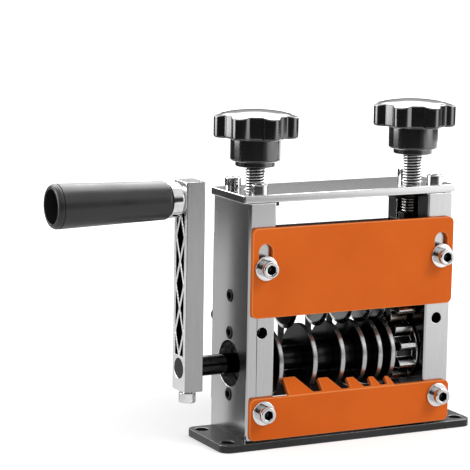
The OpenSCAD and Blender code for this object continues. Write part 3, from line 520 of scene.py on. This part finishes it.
class Shaping(Graph):
    """A Geometry Nodes tree. It takes a shape and values, and hands on a shape in its finish."""

    def __init__(self, name, result, inputs):
        super().__init__(bpy.data.node_groups.new(name, "GeometryNodeTree"))
        face = self.tree.interface
        self.keys = {}
        for label, kind in inputs.items():
            socket = face.new_socket(label, in_out="INPUT", socket_type="NodeSocket" + kind)
            self.keys[label] = socket.identifier
        face.new_socket(result, in_out="OUTPUT", socket_type="NodeSocketGeometry")
        self.given = self.node("NodeGroupInput")

    def end(self, shape):
        real = self.node("GeometryNodeRealizeInstances", None, {0: shape})
        coated = self.node("GeometryNodeSetMaterial", None,
            {"Geometry": real, "Material": self.given.other("Finish")})
        self.node("NodeGroupOutput", None, {0: coated})

    def run(self, name, source, values):
        """Runs the tree on a mesh and keeps the result as one plain mesh."""
        piece = bpy.data.objects.new(name, source)
        scene.collection.objects.link(piece)
        modifier = piece.modifiers.new("shape", "NODES")
        modifier.node_group = self.tree
        for label, value in values.items():
            modifier[self.keys[label]] = value
        return settled(piece)


placing = Shaping("placed_pieces", "Pieces", {
    "Places": "Geometry", "Piece": "Object", "Turn": "Vector", "Seed": "Int", "Finish": "Material"})
given = placing.given
pattern = placing.node("GeometryNodeObjectInfo", None, {"Object": given.other("Piece")},
    output="Geometry")
spin = placing.node("FunctionNodeRandomValue", None,
    {"Min": 0.0, "Max": 2 * math.pi, "Seed": given.other("Seed")}, output=1)
own_turn = placing.node("FunctionNodeAxisAngleToRotation", None, {"Axis": (0, 0, 1), "Angle": spin})
turn = placing.node("FunctionNodeEulerToRotation", None, {"Euler": given.other("Turn")})
both = placing.node("FunctionNodeRotateRotation", {"rotation_space": "LOCAL"},
    {0: turn, 1: own_turn})
placing.end(placing.node("GeometryNodeInstanceOnPoints", None,
    {"Points": given, "Instance": pattern, "Rotation": both}))

lay_down = (math.pi / 2, 0, 0)
lay_back = (-math.pi / 2, 0, 0)
along_shaft = (0, math.pi / 2, 0)
upside_down = (math.pi, 0, 0)


def placed(name, pattern_piece, places, turn_to, node, seed=1):
    """Copies of a piece, each turned at random about its own axis, that stand for a node."""
    points = bpy.data.meshes.new(name)
    points.from_pydata([tuple(place) for place in places], [], [])
    piece = placing.run(name, points, {"Piece": pattern_piece, "Turn": turn_to, "Seed": seed,
        "Finish": pattern_piece.data.materials[0]})
    bpy.data.objects.remove(pattern_piece)
    smoothed(piece)
    return stand_for(piece, node)


drive_z = (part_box("drive_shaft")[0].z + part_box("drive_shaft")[1].z) / 2
cutter_z = (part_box("cutter_shaft")[0].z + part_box("cutter_shaft")[1].z) / 2
keeper_low, keeper_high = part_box("keeper_screws")
keeper_head = (8 * mm, 5 * mm)
keeper_seat = keeper_high.x - keeper_head[1]
for_side = {"left": -1, "right": 1}


def both_sides(name, make_pattern, places, node):
    """A group on both side plates as one piece, its right half turned to face outwards."""
    halves = []
    for side, sign in for_side.items():
        points = bpy.data.meshes.new(name)
        points.from_pydata([(sign * x, y, z) for x, y, z in places], [], [])
        pattern_piece = make_pattern(name + "_" + side)
        halves.append(placing.run(name + "_" + side, points, {"Piece": pattern_piece,
            "Turn": (0, sign * math.pi / 2, 0), "Seed": 3,
            "Finish": pattern_piece.data.materials[0]}))
        bpy.data.objects.remove(pattern_piece)
    return stand_for(smoothed(joined(name, halves)), node)


def joined(name, pieces):
    """Several pieces made one mesh."""
    shell = bmesh.new()
    for piece in pieces:
        shell.from_mesh(piece.data)
    mesh = bpy.data.meshes.new(name)
    shell.to_mesh(mesh)
    shell.free()
    for material in pieces[0].data.materials:
        mesh.materials.append(material)
    for piece in pieces:
        bpy.data.objects.remove(piece)
    whole = bpy.data.objects.new(name, mesh)
    scene.collection.objects.link(whole)
    return whole


def keeper_screw(name):
    return cap_screw(name, shank=5 * mm, head=keeper_head, flats=4 * mm, socket=3 * mm,
        length=keeper_seat - inner_x, finish=black_oxide)


keeper_pitch = keeper_high.z - keeper_low.z - keeper_head[0]
keeper_places = [(keeper_seat, 0, drive_z + side * keeper_pitch / 2) for side in (-1, 1)]
both_sides("keeper_screws_turned", keeper_screw, keeper_places, "keeper_screws")

lock_low, lock_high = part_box("block_lock_screws")
lock_foot = inner_x + slide_depth


def lock_screw(name):
    """A grub screw: all head, and a short blunt tip in place of the shank."""
    return cap_screw(name, shank=6 * mm, head=(8 * mm, lock_high.x - lock_foot), flats=4 * mm,
        socket=3.4 * mm, length=0.2 * mm, finish=black_oxide)


lock_z = (lock_low.z + lock_high.z) / 2
both_sides("block_lock_screws_turned", lock_screw, [(lock_foot, 0, lock_z)], "block_lock_screws")


# The drive shaft is blackened steel. A square key drives six feed discs, the stepped hubs between
# them and a nine tooth gear with a thin flange, all in one row between the bearings.
blackened = worked_metal("blackened_shaft", grey(0.012), grey(0.028), (0.1, 0.2), (900, 120, 120),
    cloud=30)
edged("drive_shaft", 0.3 * mm, blackened)
dress(dark_steel, "drive_key", "end_sleeves")


def from_axis(finish, height):
    """Distance from a shaft that lies along X at a height."""
    up = finish.z - height
    return (finish.y * finish.y + up * up) ** 0.5


disc_r = (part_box("feed_discs")[1].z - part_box("feed_discs")[0].z) / 2
bright_from = disc_r - 0.5 * mm
disc_finish = Finish("blackened_disc", {"Metallic": 0.9})
radius = from_axis(disc_finish, drive_z)
rim = disc_finish.spread(radius, bright_from, bright_from + 0.2 * mm)
turned_rings = disc_finish.node("ShaderNodeTexNoise", {"noise_dimensions": "1D"},
    {"W": radius, "Scale": 2600.0, "Detail": 2.0})
smudge = disc_finish.noise(70, detail=3)
black_face = disc_finish.blend(smudge, grey(0.012), grey(0.035))
bare_rim = disc_finish.blend(smudge, grey(0.34), grey(0.5))
disc_finish.feed("Base Color", disc_finish.blend(rim, black_face, bare_rim))
disc_finish.feed("Roughness", disc_finish.spread(smudge + rim * 0.1, 0.3, 0.8, 0.14, 0.3))
disc_finish.emboss(turned_rings, 0.012 * mm)

disc_t = 3 * mm
first_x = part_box("feed_discs")[0].x
shaft_r = 6 * mm
bevel = 0.4 * mm
disc_outline = filleted([
    (shaft_r, 0, 0.1 * mm), (disc_r - bevel, 0, 0.1 * mm), (disc_r, bevel, 0.1 * mm),
    (disc_r, disc_t - bevel, 0.1 * mm), (disc_r - bevel, disc_t, 0.1 * mm),
    (shaft_r, disc_t, 0.1 * mm)], closed=True, steps=2)
channel_widths = (20 * mm, 16 * mm, 12 * mm, 8 * mm, 6 * mm)
disc_starts = [first_x + i * disc_t + sum(channel_widths[:i])
    for i in range(len(channel_widths) + 1)]
disc = turned("disc", disc_outline, disc_finish, closed=True, sides=128)
placed("feed_discs_turned", disc, [(x, 0, drive_z) for x in disc_starts], along_shaft, "feed_discs")

hub_finish = worked_metal("blackened_hub", grey(0.01), grey(0.03), (0.16, 0.3), (1800, 200, 200),
    cloud=40, fixed={"Metallic": 0.8})
edged("channel_sleeves", 0.15 * mm, hub_finish, steps=2)


def gear_finish(name, axis_z, tip_r, tooth_dark, tooth_light):
    """Black toward the roots of the teeth, bright toward the tips."""
    finish = Finish(name, {"Metallic": 1.0})
    reach = from_axis(finish, axis_z)
    toward_tips = finish.spread(reach + finish.noise(300) * 1.5 * mm, tip_r - 2.0 * mm, tip_r - 0.2 * mm)
    scuff = finish.noise(1, (120, 1500, 1500), 3)
    dark = finish.blend(scuff, grey(0.015), grey(0.05))
    light = finish.blend(scuff, tooth_dark, tooth_light)
    finish.feed("Base Color", finish.blend(toward_tips, dark, light))
    finish.feed("Roughness", finish.spread(scuff, 0.3, 0.7, 0.14, 0.3))
    finish.emboss(scuff, 0.008 * mm)
    return finish


drive_gear_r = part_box("drive_gear")[1].z - drive_z
drive_gear_steel = gear_finish("drive_gear_steel", drive_z, drive_gear_r, grey(0.35), grey(0.7))
# Painted highlight: the gear's rounded edges are in a light steel.
edged("drive_gear", 0.3 * mm, drive_gear_steel, worn_steel)


# The cutter shaft turns in bronze bushes in two sliding blocks. It carries five round blades,
# ground to an edge, the spacers between them and a gear that meshes with the one below.
edged("cutter_shaft", 0.3 * mm, dark_steel)
dress(dark_steel, "cutter_key")
bronze = worked_metal("bronze", warm(0.5, 0.3, 0.12), warm(0.66, 0.42, 0.2), (0.2, 0.35),
    (200, 900, 900))
edged("cutter_bushes", 0.2 * mm, bronze)
block_steel = worked_metal("block_steel", grey(0.03), grey(0.06), (0.25, 0.4), (900, 900, 200),
    cloud=30)
for side in for_side:
    edged("bearing_block_" + side, 0.3 * mm, block_steel)

blade_r = (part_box("cutter_blades")[1].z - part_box("cutter_blades")[0].z) / 2
blade_t = 2 * mm
ground_w = 2.5 * mm
blade_finish = Finish("blade_steel", {"Metallic": 1.0})
reach = from_axis(blade_finish, cutter_z)
ground = blade_finish.spread(reach, blade_r - ground_w - 0.1 * mm, blade_r - ground_w + 0.1 * mm)
grind = blade_finish.noise(1, (200, 1600, 1600), 3)
flat_tone = blade_finish.blend(grind, grey(0.16), grey(0.26))
ground_tone = blade_finish.blend(grind, grey(0.5), grey(0.75))
blade_finish.feed("Base Color", blade_finish.blend(ground, flat_tone, ground_tone))
blade_finish.feed("Roughness", blade_finish.spread(grind, 0.3, 0.7, 0.12, 0.26))
blade_finish.emboss(grind, 0.006 * mm)
edge_share = 0.45
blade_outline = filleted([
    (shaft_r, 0, 0), (blade_r - ground_w, 0, 0.1 * mm), (blade_r, blade_t * edge_share, 0.03 * mm),
    (blade_r, blade_t * (1 - edge_share), 0.03 * mm), (blade_r - ground_w, blade_t, 0.1 * mm),
    (shaft_r, blade_t, 0)], closed=True, steps=2)
blade_places = [(start + disc_t + (width - blade_t) / 2, 0, cutter_z)
    for start, width in zip(disc_starts, channel_widths)]
blade = turned("blade", blade_outline, blade_finish, closed=True, sides=128, sharp_from=12)
placed("cutter_blades_ground", blade, blade_places, along_shaft, "cutter_blades")
edged("blade_spacers", 0.2 * mm, hub_finish)
cutter_gear_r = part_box("cutter_gear")[1].z - cutter_z
cutter_gear_steel = gear_finish("cutter_gear_steel", cutter_z, cutter_gear_r,
    warm(0.66, 0.48, 0.38), warm(0.88, 0.72, 0.6))
# Painted highlight: the gear's rounded edges are in a light steel.
edged("cutter_gear", 0.3 * mm, cutter_gear_steel, worn_steel)


# Two studs with a coarse thread lift the blocks. Each turns in a dark lug under the top plate,
# carries a pressed-on collar over its block, and is held in the block by a nut on its tip.
thread_pitch = 1.75 * mm
thread_depth = 1.05 * mm
flank_slope, crest_flat = 2.6, 0.3
rows_a_turn = 8
stud_r, stud_bevel = 6 * mm, 0.7 * mm
tip_r, tip_length, tip_bevel = 4 * mm, 8 * mm, 0.5 * mm
journal_r, thread_start = 5 * mm, 18.2 * mm
cutting = Shaping("thread", "Threaded", {
    "Blank": "Geometry", "Pitch": "Float", "Depth": "Float", "Crest radius": "Float",
    "Finish": "Material"})
given = cutting.given
x = cutting.node("ShaderNodeSeparateXYZ", None, {0: cutting.node("GeometryNodeInputPosition")})
y, z = x.other("Y"), x.other("Z")
out = (x * x + y * y) ** 0.5
turns = z / given.other("Pitch") - y.maths("ARCTAN2", x) / (2 * math.pi)
flank = turns.maths("PINGPONG", 0.5) * flank_slope - crest_flat
flank = flank.maths("MAXIMUM", 0.0).maths("MINIMUM", 1.0)
on_thread = out > given.other("Crest radius") - 0.1 * mm
inward = (flank * on_thread * given.other("Depth") / out) * -1
cut = cutting.node("ShaderNodeCombineXYZ", None, {0: x * inward, 1: y * inward})
cutting.end(cutting.node("GeometryNodeSetPosition", None, {"Geometry": given, "Offset": cut}))

chrome = worked_metal("chrome", grey(0.62), grey(0.82), (0.05, 0.12), (400, 400, 400),
    0.0003 * mm, 120)
thread_steel = worked_metal("thread_steel", grey(0.55), grey(0.75), (0.12, 0.22), (400, 400, 400),
    cloud=120)
stud_x = (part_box("stud_right")[0].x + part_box("stud_right")[1].x) / 2
to_x = abs(thread_steel.x) - stud_x
to_axis = (to_x * to_x + thread_steel.y * thread_steel.y) ** 0.5
# Painted shade: the thread's roots, under the crests, are painted near black.
shaded(thread_steel, thread_steel.spread(to_axis, stud_r - 0.3 * mm, stud_r - 0.6 * mm), grey(0.03))
for side in for_side:
    node = "stud_" + side
    low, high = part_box(node)
    axis = (low + high) / 2
    stud_length = high.z - low.z
    thread_length = stud_length - thread_start
    thread_rows = round(thread_length / thread_pitch * rows_a_turn)
    outline = [(0, 0), (tip_r - tip_bevel, 0), (tip_r, tip_bevel), (tip_r, tip_length),
        (journal_r, tip_length), (journal_r, thread_start)]
    heights = [thread_start + thread_length * row / thread_rows for row in range(thread_rows)]
    outline += [(stud_r, height) for height in heights]
    outline += [(stud_r - stud_bevel, stud_length), (0, stud_length)]
    blank = turned(node + "_blank", outline, thread_steel, sides=40)
    stud = cutting.run(node + "_threaded", blank.data.copy(), {"Pitch": thread_pitch,
        "Depth": thread_depth, "Crest radius": stud_r, "Finish": thread_steel.material})
    bpy.data.objects.remove(blank)
    stud.data.transform(Matrix.Translation((axis.x, axis.y, low.z)))
    stand_for(smoothed(stud, 60), node)
    edged("stud_collar_" + side, 0.4 * mm, black_oxide)
    edged("stud_end_nut_" + side, 0.3 * mm, dark_steel)
edged("stud_nuts", 0.5 * mm, black_oxide)


# The top plate is polished steel. It ties the side plates together, and four cap screws with
# chromed heads hold it down.
polished = worked_metal("polished_steel", grey(0.5), grey(0.58), (0.09, 0.14), (40, 900, 900),
    0.0008 * mm, 8)
# Painted highlight: the rounded edges of the top plate are a paler steel than its face.
polished_edge = worked_metal("polished_edge", grey(0.75), grey(0.9), (0.1, 0.2), (900, 900, 900))
edged("top_plate", 0.5 * mm, polished, polished_edge)

head = (10 * mm, 6 * mm)
screw_d = 6 * mm
hex_flats = 5 * mm
socket_depth = 3.4 * mm
top_low, top_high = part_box("top_plate_screws")
seat_z = top_high.z - head[1]
inset = head[0] / 2
far_x, far_y = top_high.x - inset, top_high.y - inset
corners = [(x, y, seat_z) for x in (top_low.x + inset, far_x) for y in (top_low.y + inset, far_y)]
socket_r = hex_flats / 2 / math.cos(math.pi / 6) + 0.15 * mm
socket_lip = 0.45 * mm
socket_floor = socket_depth + 0.6 * mm


def sockets(across, along, depth):
    """Is 1 inside the hex sockets, by the distances from their axes and below their heads."""
    inside = (across * across + along * along) ** 0.5 < socket_r
    return inside * (depth > socket_lip) * (depth < socket_floor)


def screw_chrome(name):
    return worked_metal(name, grey(0.5), grey(0.7), (0.06, 0.13), (400, 400, 400),
        0.0003 * mm, 120)


top_chrome = screw_chrome("top_screw_chrome")
# Painted shade: the hex sockets are painted near black below their rims.
in_sockets = sockets(abs(top_chrome.x) - far_x, abs(top_chrome.y) - far_y,
    top_high.z - top_chrome.z)
shaded(top_chrome, in_sockets, grey(0.03))
screw = cap_screw("screw", screw_d, head, hex_flats, socket_depth, seat_z - top_low.z, top_chrome)
placed("top_plate_screws_turned", screw, corners, (0, 0, 0), "top_plate_screws", seed=4)


# The two front covers are folded sheet, powder coated orange. The upper one hangs in two slots
# and slides down as a guard; the lower one folds back into a comb between the discs.
def powder(name, shade, tone):
    """Sprayed and baked paint, with a faint orange peel and soft mottling."""
    finish = Finish(name, {"Specular IOR Level": 0.06})
    cloud = finish.noise(22, detail=4)
    finish.feed("Base Color", finish.blend(finish.spread(cloud, 0.3, 0.7), shade, tone))
    finish.feed("Roughness", finish.spread(finish.noise(160, detail=3), 0.3, 0.7, 0.42, 0.56))
    finish.emboss(finish.noise(900, detail=2), 0.012 * mm)
    return finish


orange = powder("orange_powder_coat", warm(0.74, 0.13, 0.012), warm(0.82, 0.155, 0.016))
# Painted highlight: the rounded edges and the fold of the covers are a lighter orange.
orange_edge_highlight = powder("orange_powder_edge", warm(0.84, 0.24, 0.06), warm(0.9, 0.3, 0.09))
edged("upper_cover", 0.45 * mm, orange, orange_edge_highlight)
edged("lower_cover", 0.45 * mm, orange, orange_edge_highlight)

washer_r, washer_hole_r, washer_t = 7.3 * mm, 3.2 * mm, 1.6 * mm
washer_outline = [
    (washer_hole_r, 0, 0.2 * mm), (washer_r, 0, 0.4 * mm), (washer_r, washer_t, 0.6 * mm),
    (washer_hole_r, washer_t, 0.2 * mm)]
for cover in ("upper", "lower"):
    washers = cover + "_cover_washers"
    screws = cover + "_cover_screws"
    low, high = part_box(washers)
    height = (low.z + high.z) / 2
    reach_x = high.x - (high.z - low.z) / 2
    washer = turned("washer", filleted(washer_outline, closed=True), chrome, closed=True, sides=64)
    places = [(x, high.y, height) for x in (-reach_x, reach_x)]
    placed(washers + "_turned", washer, places, lay_down, washers)
    screw_low, screw_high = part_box(screws)
    length = screw_high.y - screw_low.y - head[1]
    bright = screw_chrome(cover + "_screw_chrome")
    depth = bright.y - screw_low.y
    # Painted shade: the hex sockets are painted near black below their rims.
    shaded(bright, sockets(abs(bright.x) - reach_x, bright.z - height, depth), grey(0.03))
    screw = cap_screw("screw", screw_d, head, hex_flats, socket_depth, length, bright)
    places = [(x, screw_low.y + head[1], height) for x in (-reach_x, reach_x)]
    placed(screws + "_turned", screw, places, lay_down, screws, seed=5)


# The star knobs are moulded in gloss black plastic over the studs' tops: a boss, a round hub and
# a domed head with seven lobes.
knob_r = 25.4 * mm
lobes = 7
lobe_r, valley_depth, valley_blend = 5.6 * mm, 4.4 * mm, 2.6 * mm
boss, hub = (11.9 * mm, 3.2 * mm), (15 * mm, 17.2 * mm)
stud_hole, lobe_run_in = 18 * mm, 4 * mm
rim_z, dome_z = 29.7 * mm, 33.2 * mm
dome_r = (knob_r ** 2 + (dome_z - rim_z) ** 2) / (2 * (dome_z - rim_z))
lobing = Shaping("scallops", "Knob", {
    "Blank": "Geometry", "Lobes": "Int", "Lobe radius": "Float", "Valley depth": "Float",
    "Valley angle": "Float", "Finish": "Material"})
given = lobing.given
x = lobing.node("ShaderNodeSeparateXYZ", None, {0: lobing.node("GeometryNodeInputPosition")})
y, z = x.other("Y"), x.other("Z")
out = (x * x + y * y) ** 0.5
from_valley = y.maths("ARCTAN2", x) - given.other("Valley angle")
round_share = from_valley * given.other("Lobes") / (2 * math.pi)
off_lobe = (0.5 - round_share.maths("PINGPONG", 0.5)) * (2 * math.pi) / given.other("Lobes")
lobe_place = knob_r - given.other("Lobe radius")
chord = given.other("Lobe radius") ** 2 - (lobe_place * off_lobe.maths("SINE")) ** 2
lobe_reach = lobe_place * off_lobe.maths("COSINE") + chord.maths("MAXIMUM", 0.0) ** 0.5
outline_r = lobe_reach.maths("SMOOTH_MAX", knob_r - given.other("Valley depth"), valley_blend)
share = ((out - hub[0]) / lobe_run_in).maths("MAXIMUM", 0.0).maths("MINIMUM", 1.0)
scale = (outline_r / knob_r - 1) * share
new_out = out * (scale + 1)
on_top = ((z - hub[1]) / (rim_z - hub[1]) * 2 - 1).maths("MAXIMUM", 0.0).maths("MINIMUM", 1.0)
rise = (out * out - new_out * new_out) / (2 * dome_r) * on_top
shift = lobing.node("ShaderNodeCombineXYZ", None, {0: x * scale, 1: y * scale, 2: rise})
lobing.end(lobing.node("GeometryNodeSetPosition", None, {"Geometry": given, "Offset": shift}))

gloss_black = Finish("gloss_black_plastic",
    {"Specular IOR Level": 0.9, "Coat Weight": 0.4, "Coat Roughness": 0.03})
mottle = gloss_black.noise(90, detail=4)
gloss_black.feed("Base Color", gloss_black.blend(mottle, grey(0.004), grey(0.009)))
gloss_black.feed("Roughness", gloss_black.spread(mottle, 0.3, 0.7, 0.08, 0.14))
gloss_black.emboss(gloss_black.noise(1400, detail=2), 0.001 * mm)
valley_angles = {"left": -117.5, "right": -116}
dome_steps = 10
top_r, rim_lift = knob_r - 3 * mm, 0.55 * mm
for side in for_side:
    node = "knob_" + side
    low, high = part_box(node)
    outline = filleted([
        (0, stud_hole, 0), (stud_r, stud_hole, 0), (stud_r, 0, 0.3 * mm), (boss[0], 0, 0.6 * mm),
        (boss[0], boss[1], 0.3 * mm), (hub[0], boss[1], 1.4 * mm), (hub[0], hub[1], 1.0 * mm),
        (knob_r, hub[1], 1.3 * mm), (knob_r, rim_z, 1.2 * mm), (top_r, rim_z + rim_lift, 0)],
        steps=5)
    top = [top_r * (1 - step / dome_steps) for step in range(1, dome_steps + 1)]
    outline += [Vector((r, dome_z - dome_r + (dome_r ** 2 - r * r) ** 0.5)) for r in top]
    blank = turned(node + "_blank", outline, gloss_black, sides=lobes * 24)
    knob = lobing.run(node + "_moulded", blank.data.copy(), {"Lobes": lobes,
        "Lobe radius": lobe_r, "Valley depth": valley_depth,
        "Valley angle": math.radians(valley_angles[side]), "Finish": gloss_black.material})
    bpy.data.objects.remove(blank)
    knob.data.transform(Matrix.Translation((for_side[side] * stud_x, 0, low.z)))
    stand_for(smoothed(knob, 40), node)


# The crank arm is a bar of satin aluminium, clamped on the shaft by a screw from below. A pocket
# with crossed ribs lightens its outer face.
arm_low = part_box("crank_arm")[0]
arm_finish = satin("satin_arm", grey(0.33), grey(0.42))
crank_r = 100 * mm
pocket_w, pocket_length, pocket_depth = 10.8 * mm, 84.6 * mm, 4 * mm
pocket_z = drive_z + crank_r / 2
rib_skin = 0.35 * mm
pocket_floor = arm_low.x + pocket_depth
in_pocket = (arm_finish.x > arm_low.x + rib_skin) * (arm_finish.x < pocket_floor + rib_skin)
in_pocket = in_pocket * (abs(arm_finish.y) < pocket_w / 2 + rib_skin)
in_pocket = in_pocket * (abs(arm_finish.z - pocket_z) < pocket_length / 2 + rib_skin)
# Painted highlight: the outer face and the tops of its ribs are painted pale grey.
shaded(arm_finish, arm_finish.x < arm_low.x + 0.2 * mm, grey(0.85))
shaded(arm_finish, in_pocket, grey(0.012))
edged("crank_arm", 0.35 * mm, arm_finish)
screw_low, screw_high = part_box("crank_clamp_screw")
clamp_place = ((screw_low.x + screw_high.x) / 2, 0, screw_low.z + head[1])
screw = cap_screw("screw", screw_d, head, hex_flats, socket_depth,
    screw_high.z - clamp_place[2], chrome)
placed("crank_clamp_screw_turned", screw, [clamp_place], upside_down, "crank_clamp_screw", seed=6)


# The grip is a hollow sleeve of satin black plastic that turns on a bolt. A chromed collar keeps
# it off the arm.
sleeve_low, sleeve_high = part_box("grip_sleeve")
grip_z = (sleeve_low.z + sleeve_high.z) / 2
grip_length = sleeve_high.x - sleeve_low.x
grip_r, neck_r, bore_r, bolt_r = 13 * mm, 11.15 * mm, 10 * mm, 4.05 * mm
groove_from, groove_to, groove_depth, web = 3 * mm, 3.8 * mm, 0.5 * mm, 13.5 * mm
satin_black = Finish("satin_black_plastic", {"Specular IOR Level": 0.5})
pebble = satin_black.noise(700, detail=3)
satin_black.feed("Base Color", satin_black.blend(pebble, grey(0.01), grey(0.022)))
satin_black.feed("Roughness", satin_black.spread(satin_black.noise(60), 0.3, 0.7, 0.28, 0.4))
satin_black.emboss(pebble, 0.015 * mm)
grip_outline = filleted([
    (bore_r, 0, 0.4 * mm), (grip_r - 1.8 * mm, 0, 1.6 * mm),
    (grip_r - 0.63 * mm, 0.84 * mm, 2.2 * mm), (grip_r, 2.4 * mm, 1.4 * mm),
    (grip_r, groove_from, 0.1 * mm), (grip_r - groove_depth, groove_from, 0.1 * mm),
    (grip_r - groove_depth, groove_to, 0.1 * mm), (grip_r, groove_to, 0.2 * mm),
    (neck_r, grip_length, 2.4 * mm), (bolt_r, grip_length, 0.3 * mm),
    (bolt_r, grip_length - web, 0.3 * mm), (bore_r, grip_length - web, 0.5 * mm)],
    closed=True, steps=5)
sleeve = turned("sleeve", grip_outline, satin_black, closed=True, sides=96)
placed("grip_sleeve_moulded", sleeve, [(sleeve_low.x, 0, grip_z)], along_shaft, "grip_sleeve")
edged("grip_spacer", 0.8 * mm, chrome)
edged("grip_bolt", 0.4 * mm, chrome)


# The back cover is thin sheet, painted grey, with a window behind each cable channel. Two socket
# screws at half its height hold it on the side plates.
grey_paint = powder("grey_powder_coat", grey(0.2), grey(0.26))
edged("back_cover", 0.3 * mm, grey_paint)
back_low, back_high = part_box("back_cover_screws")
back_head = (8.5 * mm, 5 * mm)
back_seat = back_high.y - back_head[1]
side_x = back_high.x - back_head[0] / 2
screw = cap_screw("screw", shank=5 * mm, head=back_head, flats=4 * mm, socket=2.5 * mm,
    length=back_seat - back_low.y, finish=black_oxide)
places = [(x, back_seat, (back_low.z + back_high.z) / 2) for x in (-side_x, side_x)]
placed("back_cover_screws_turned", screw, places, lay_back, "back_cover_screws", seed=7)
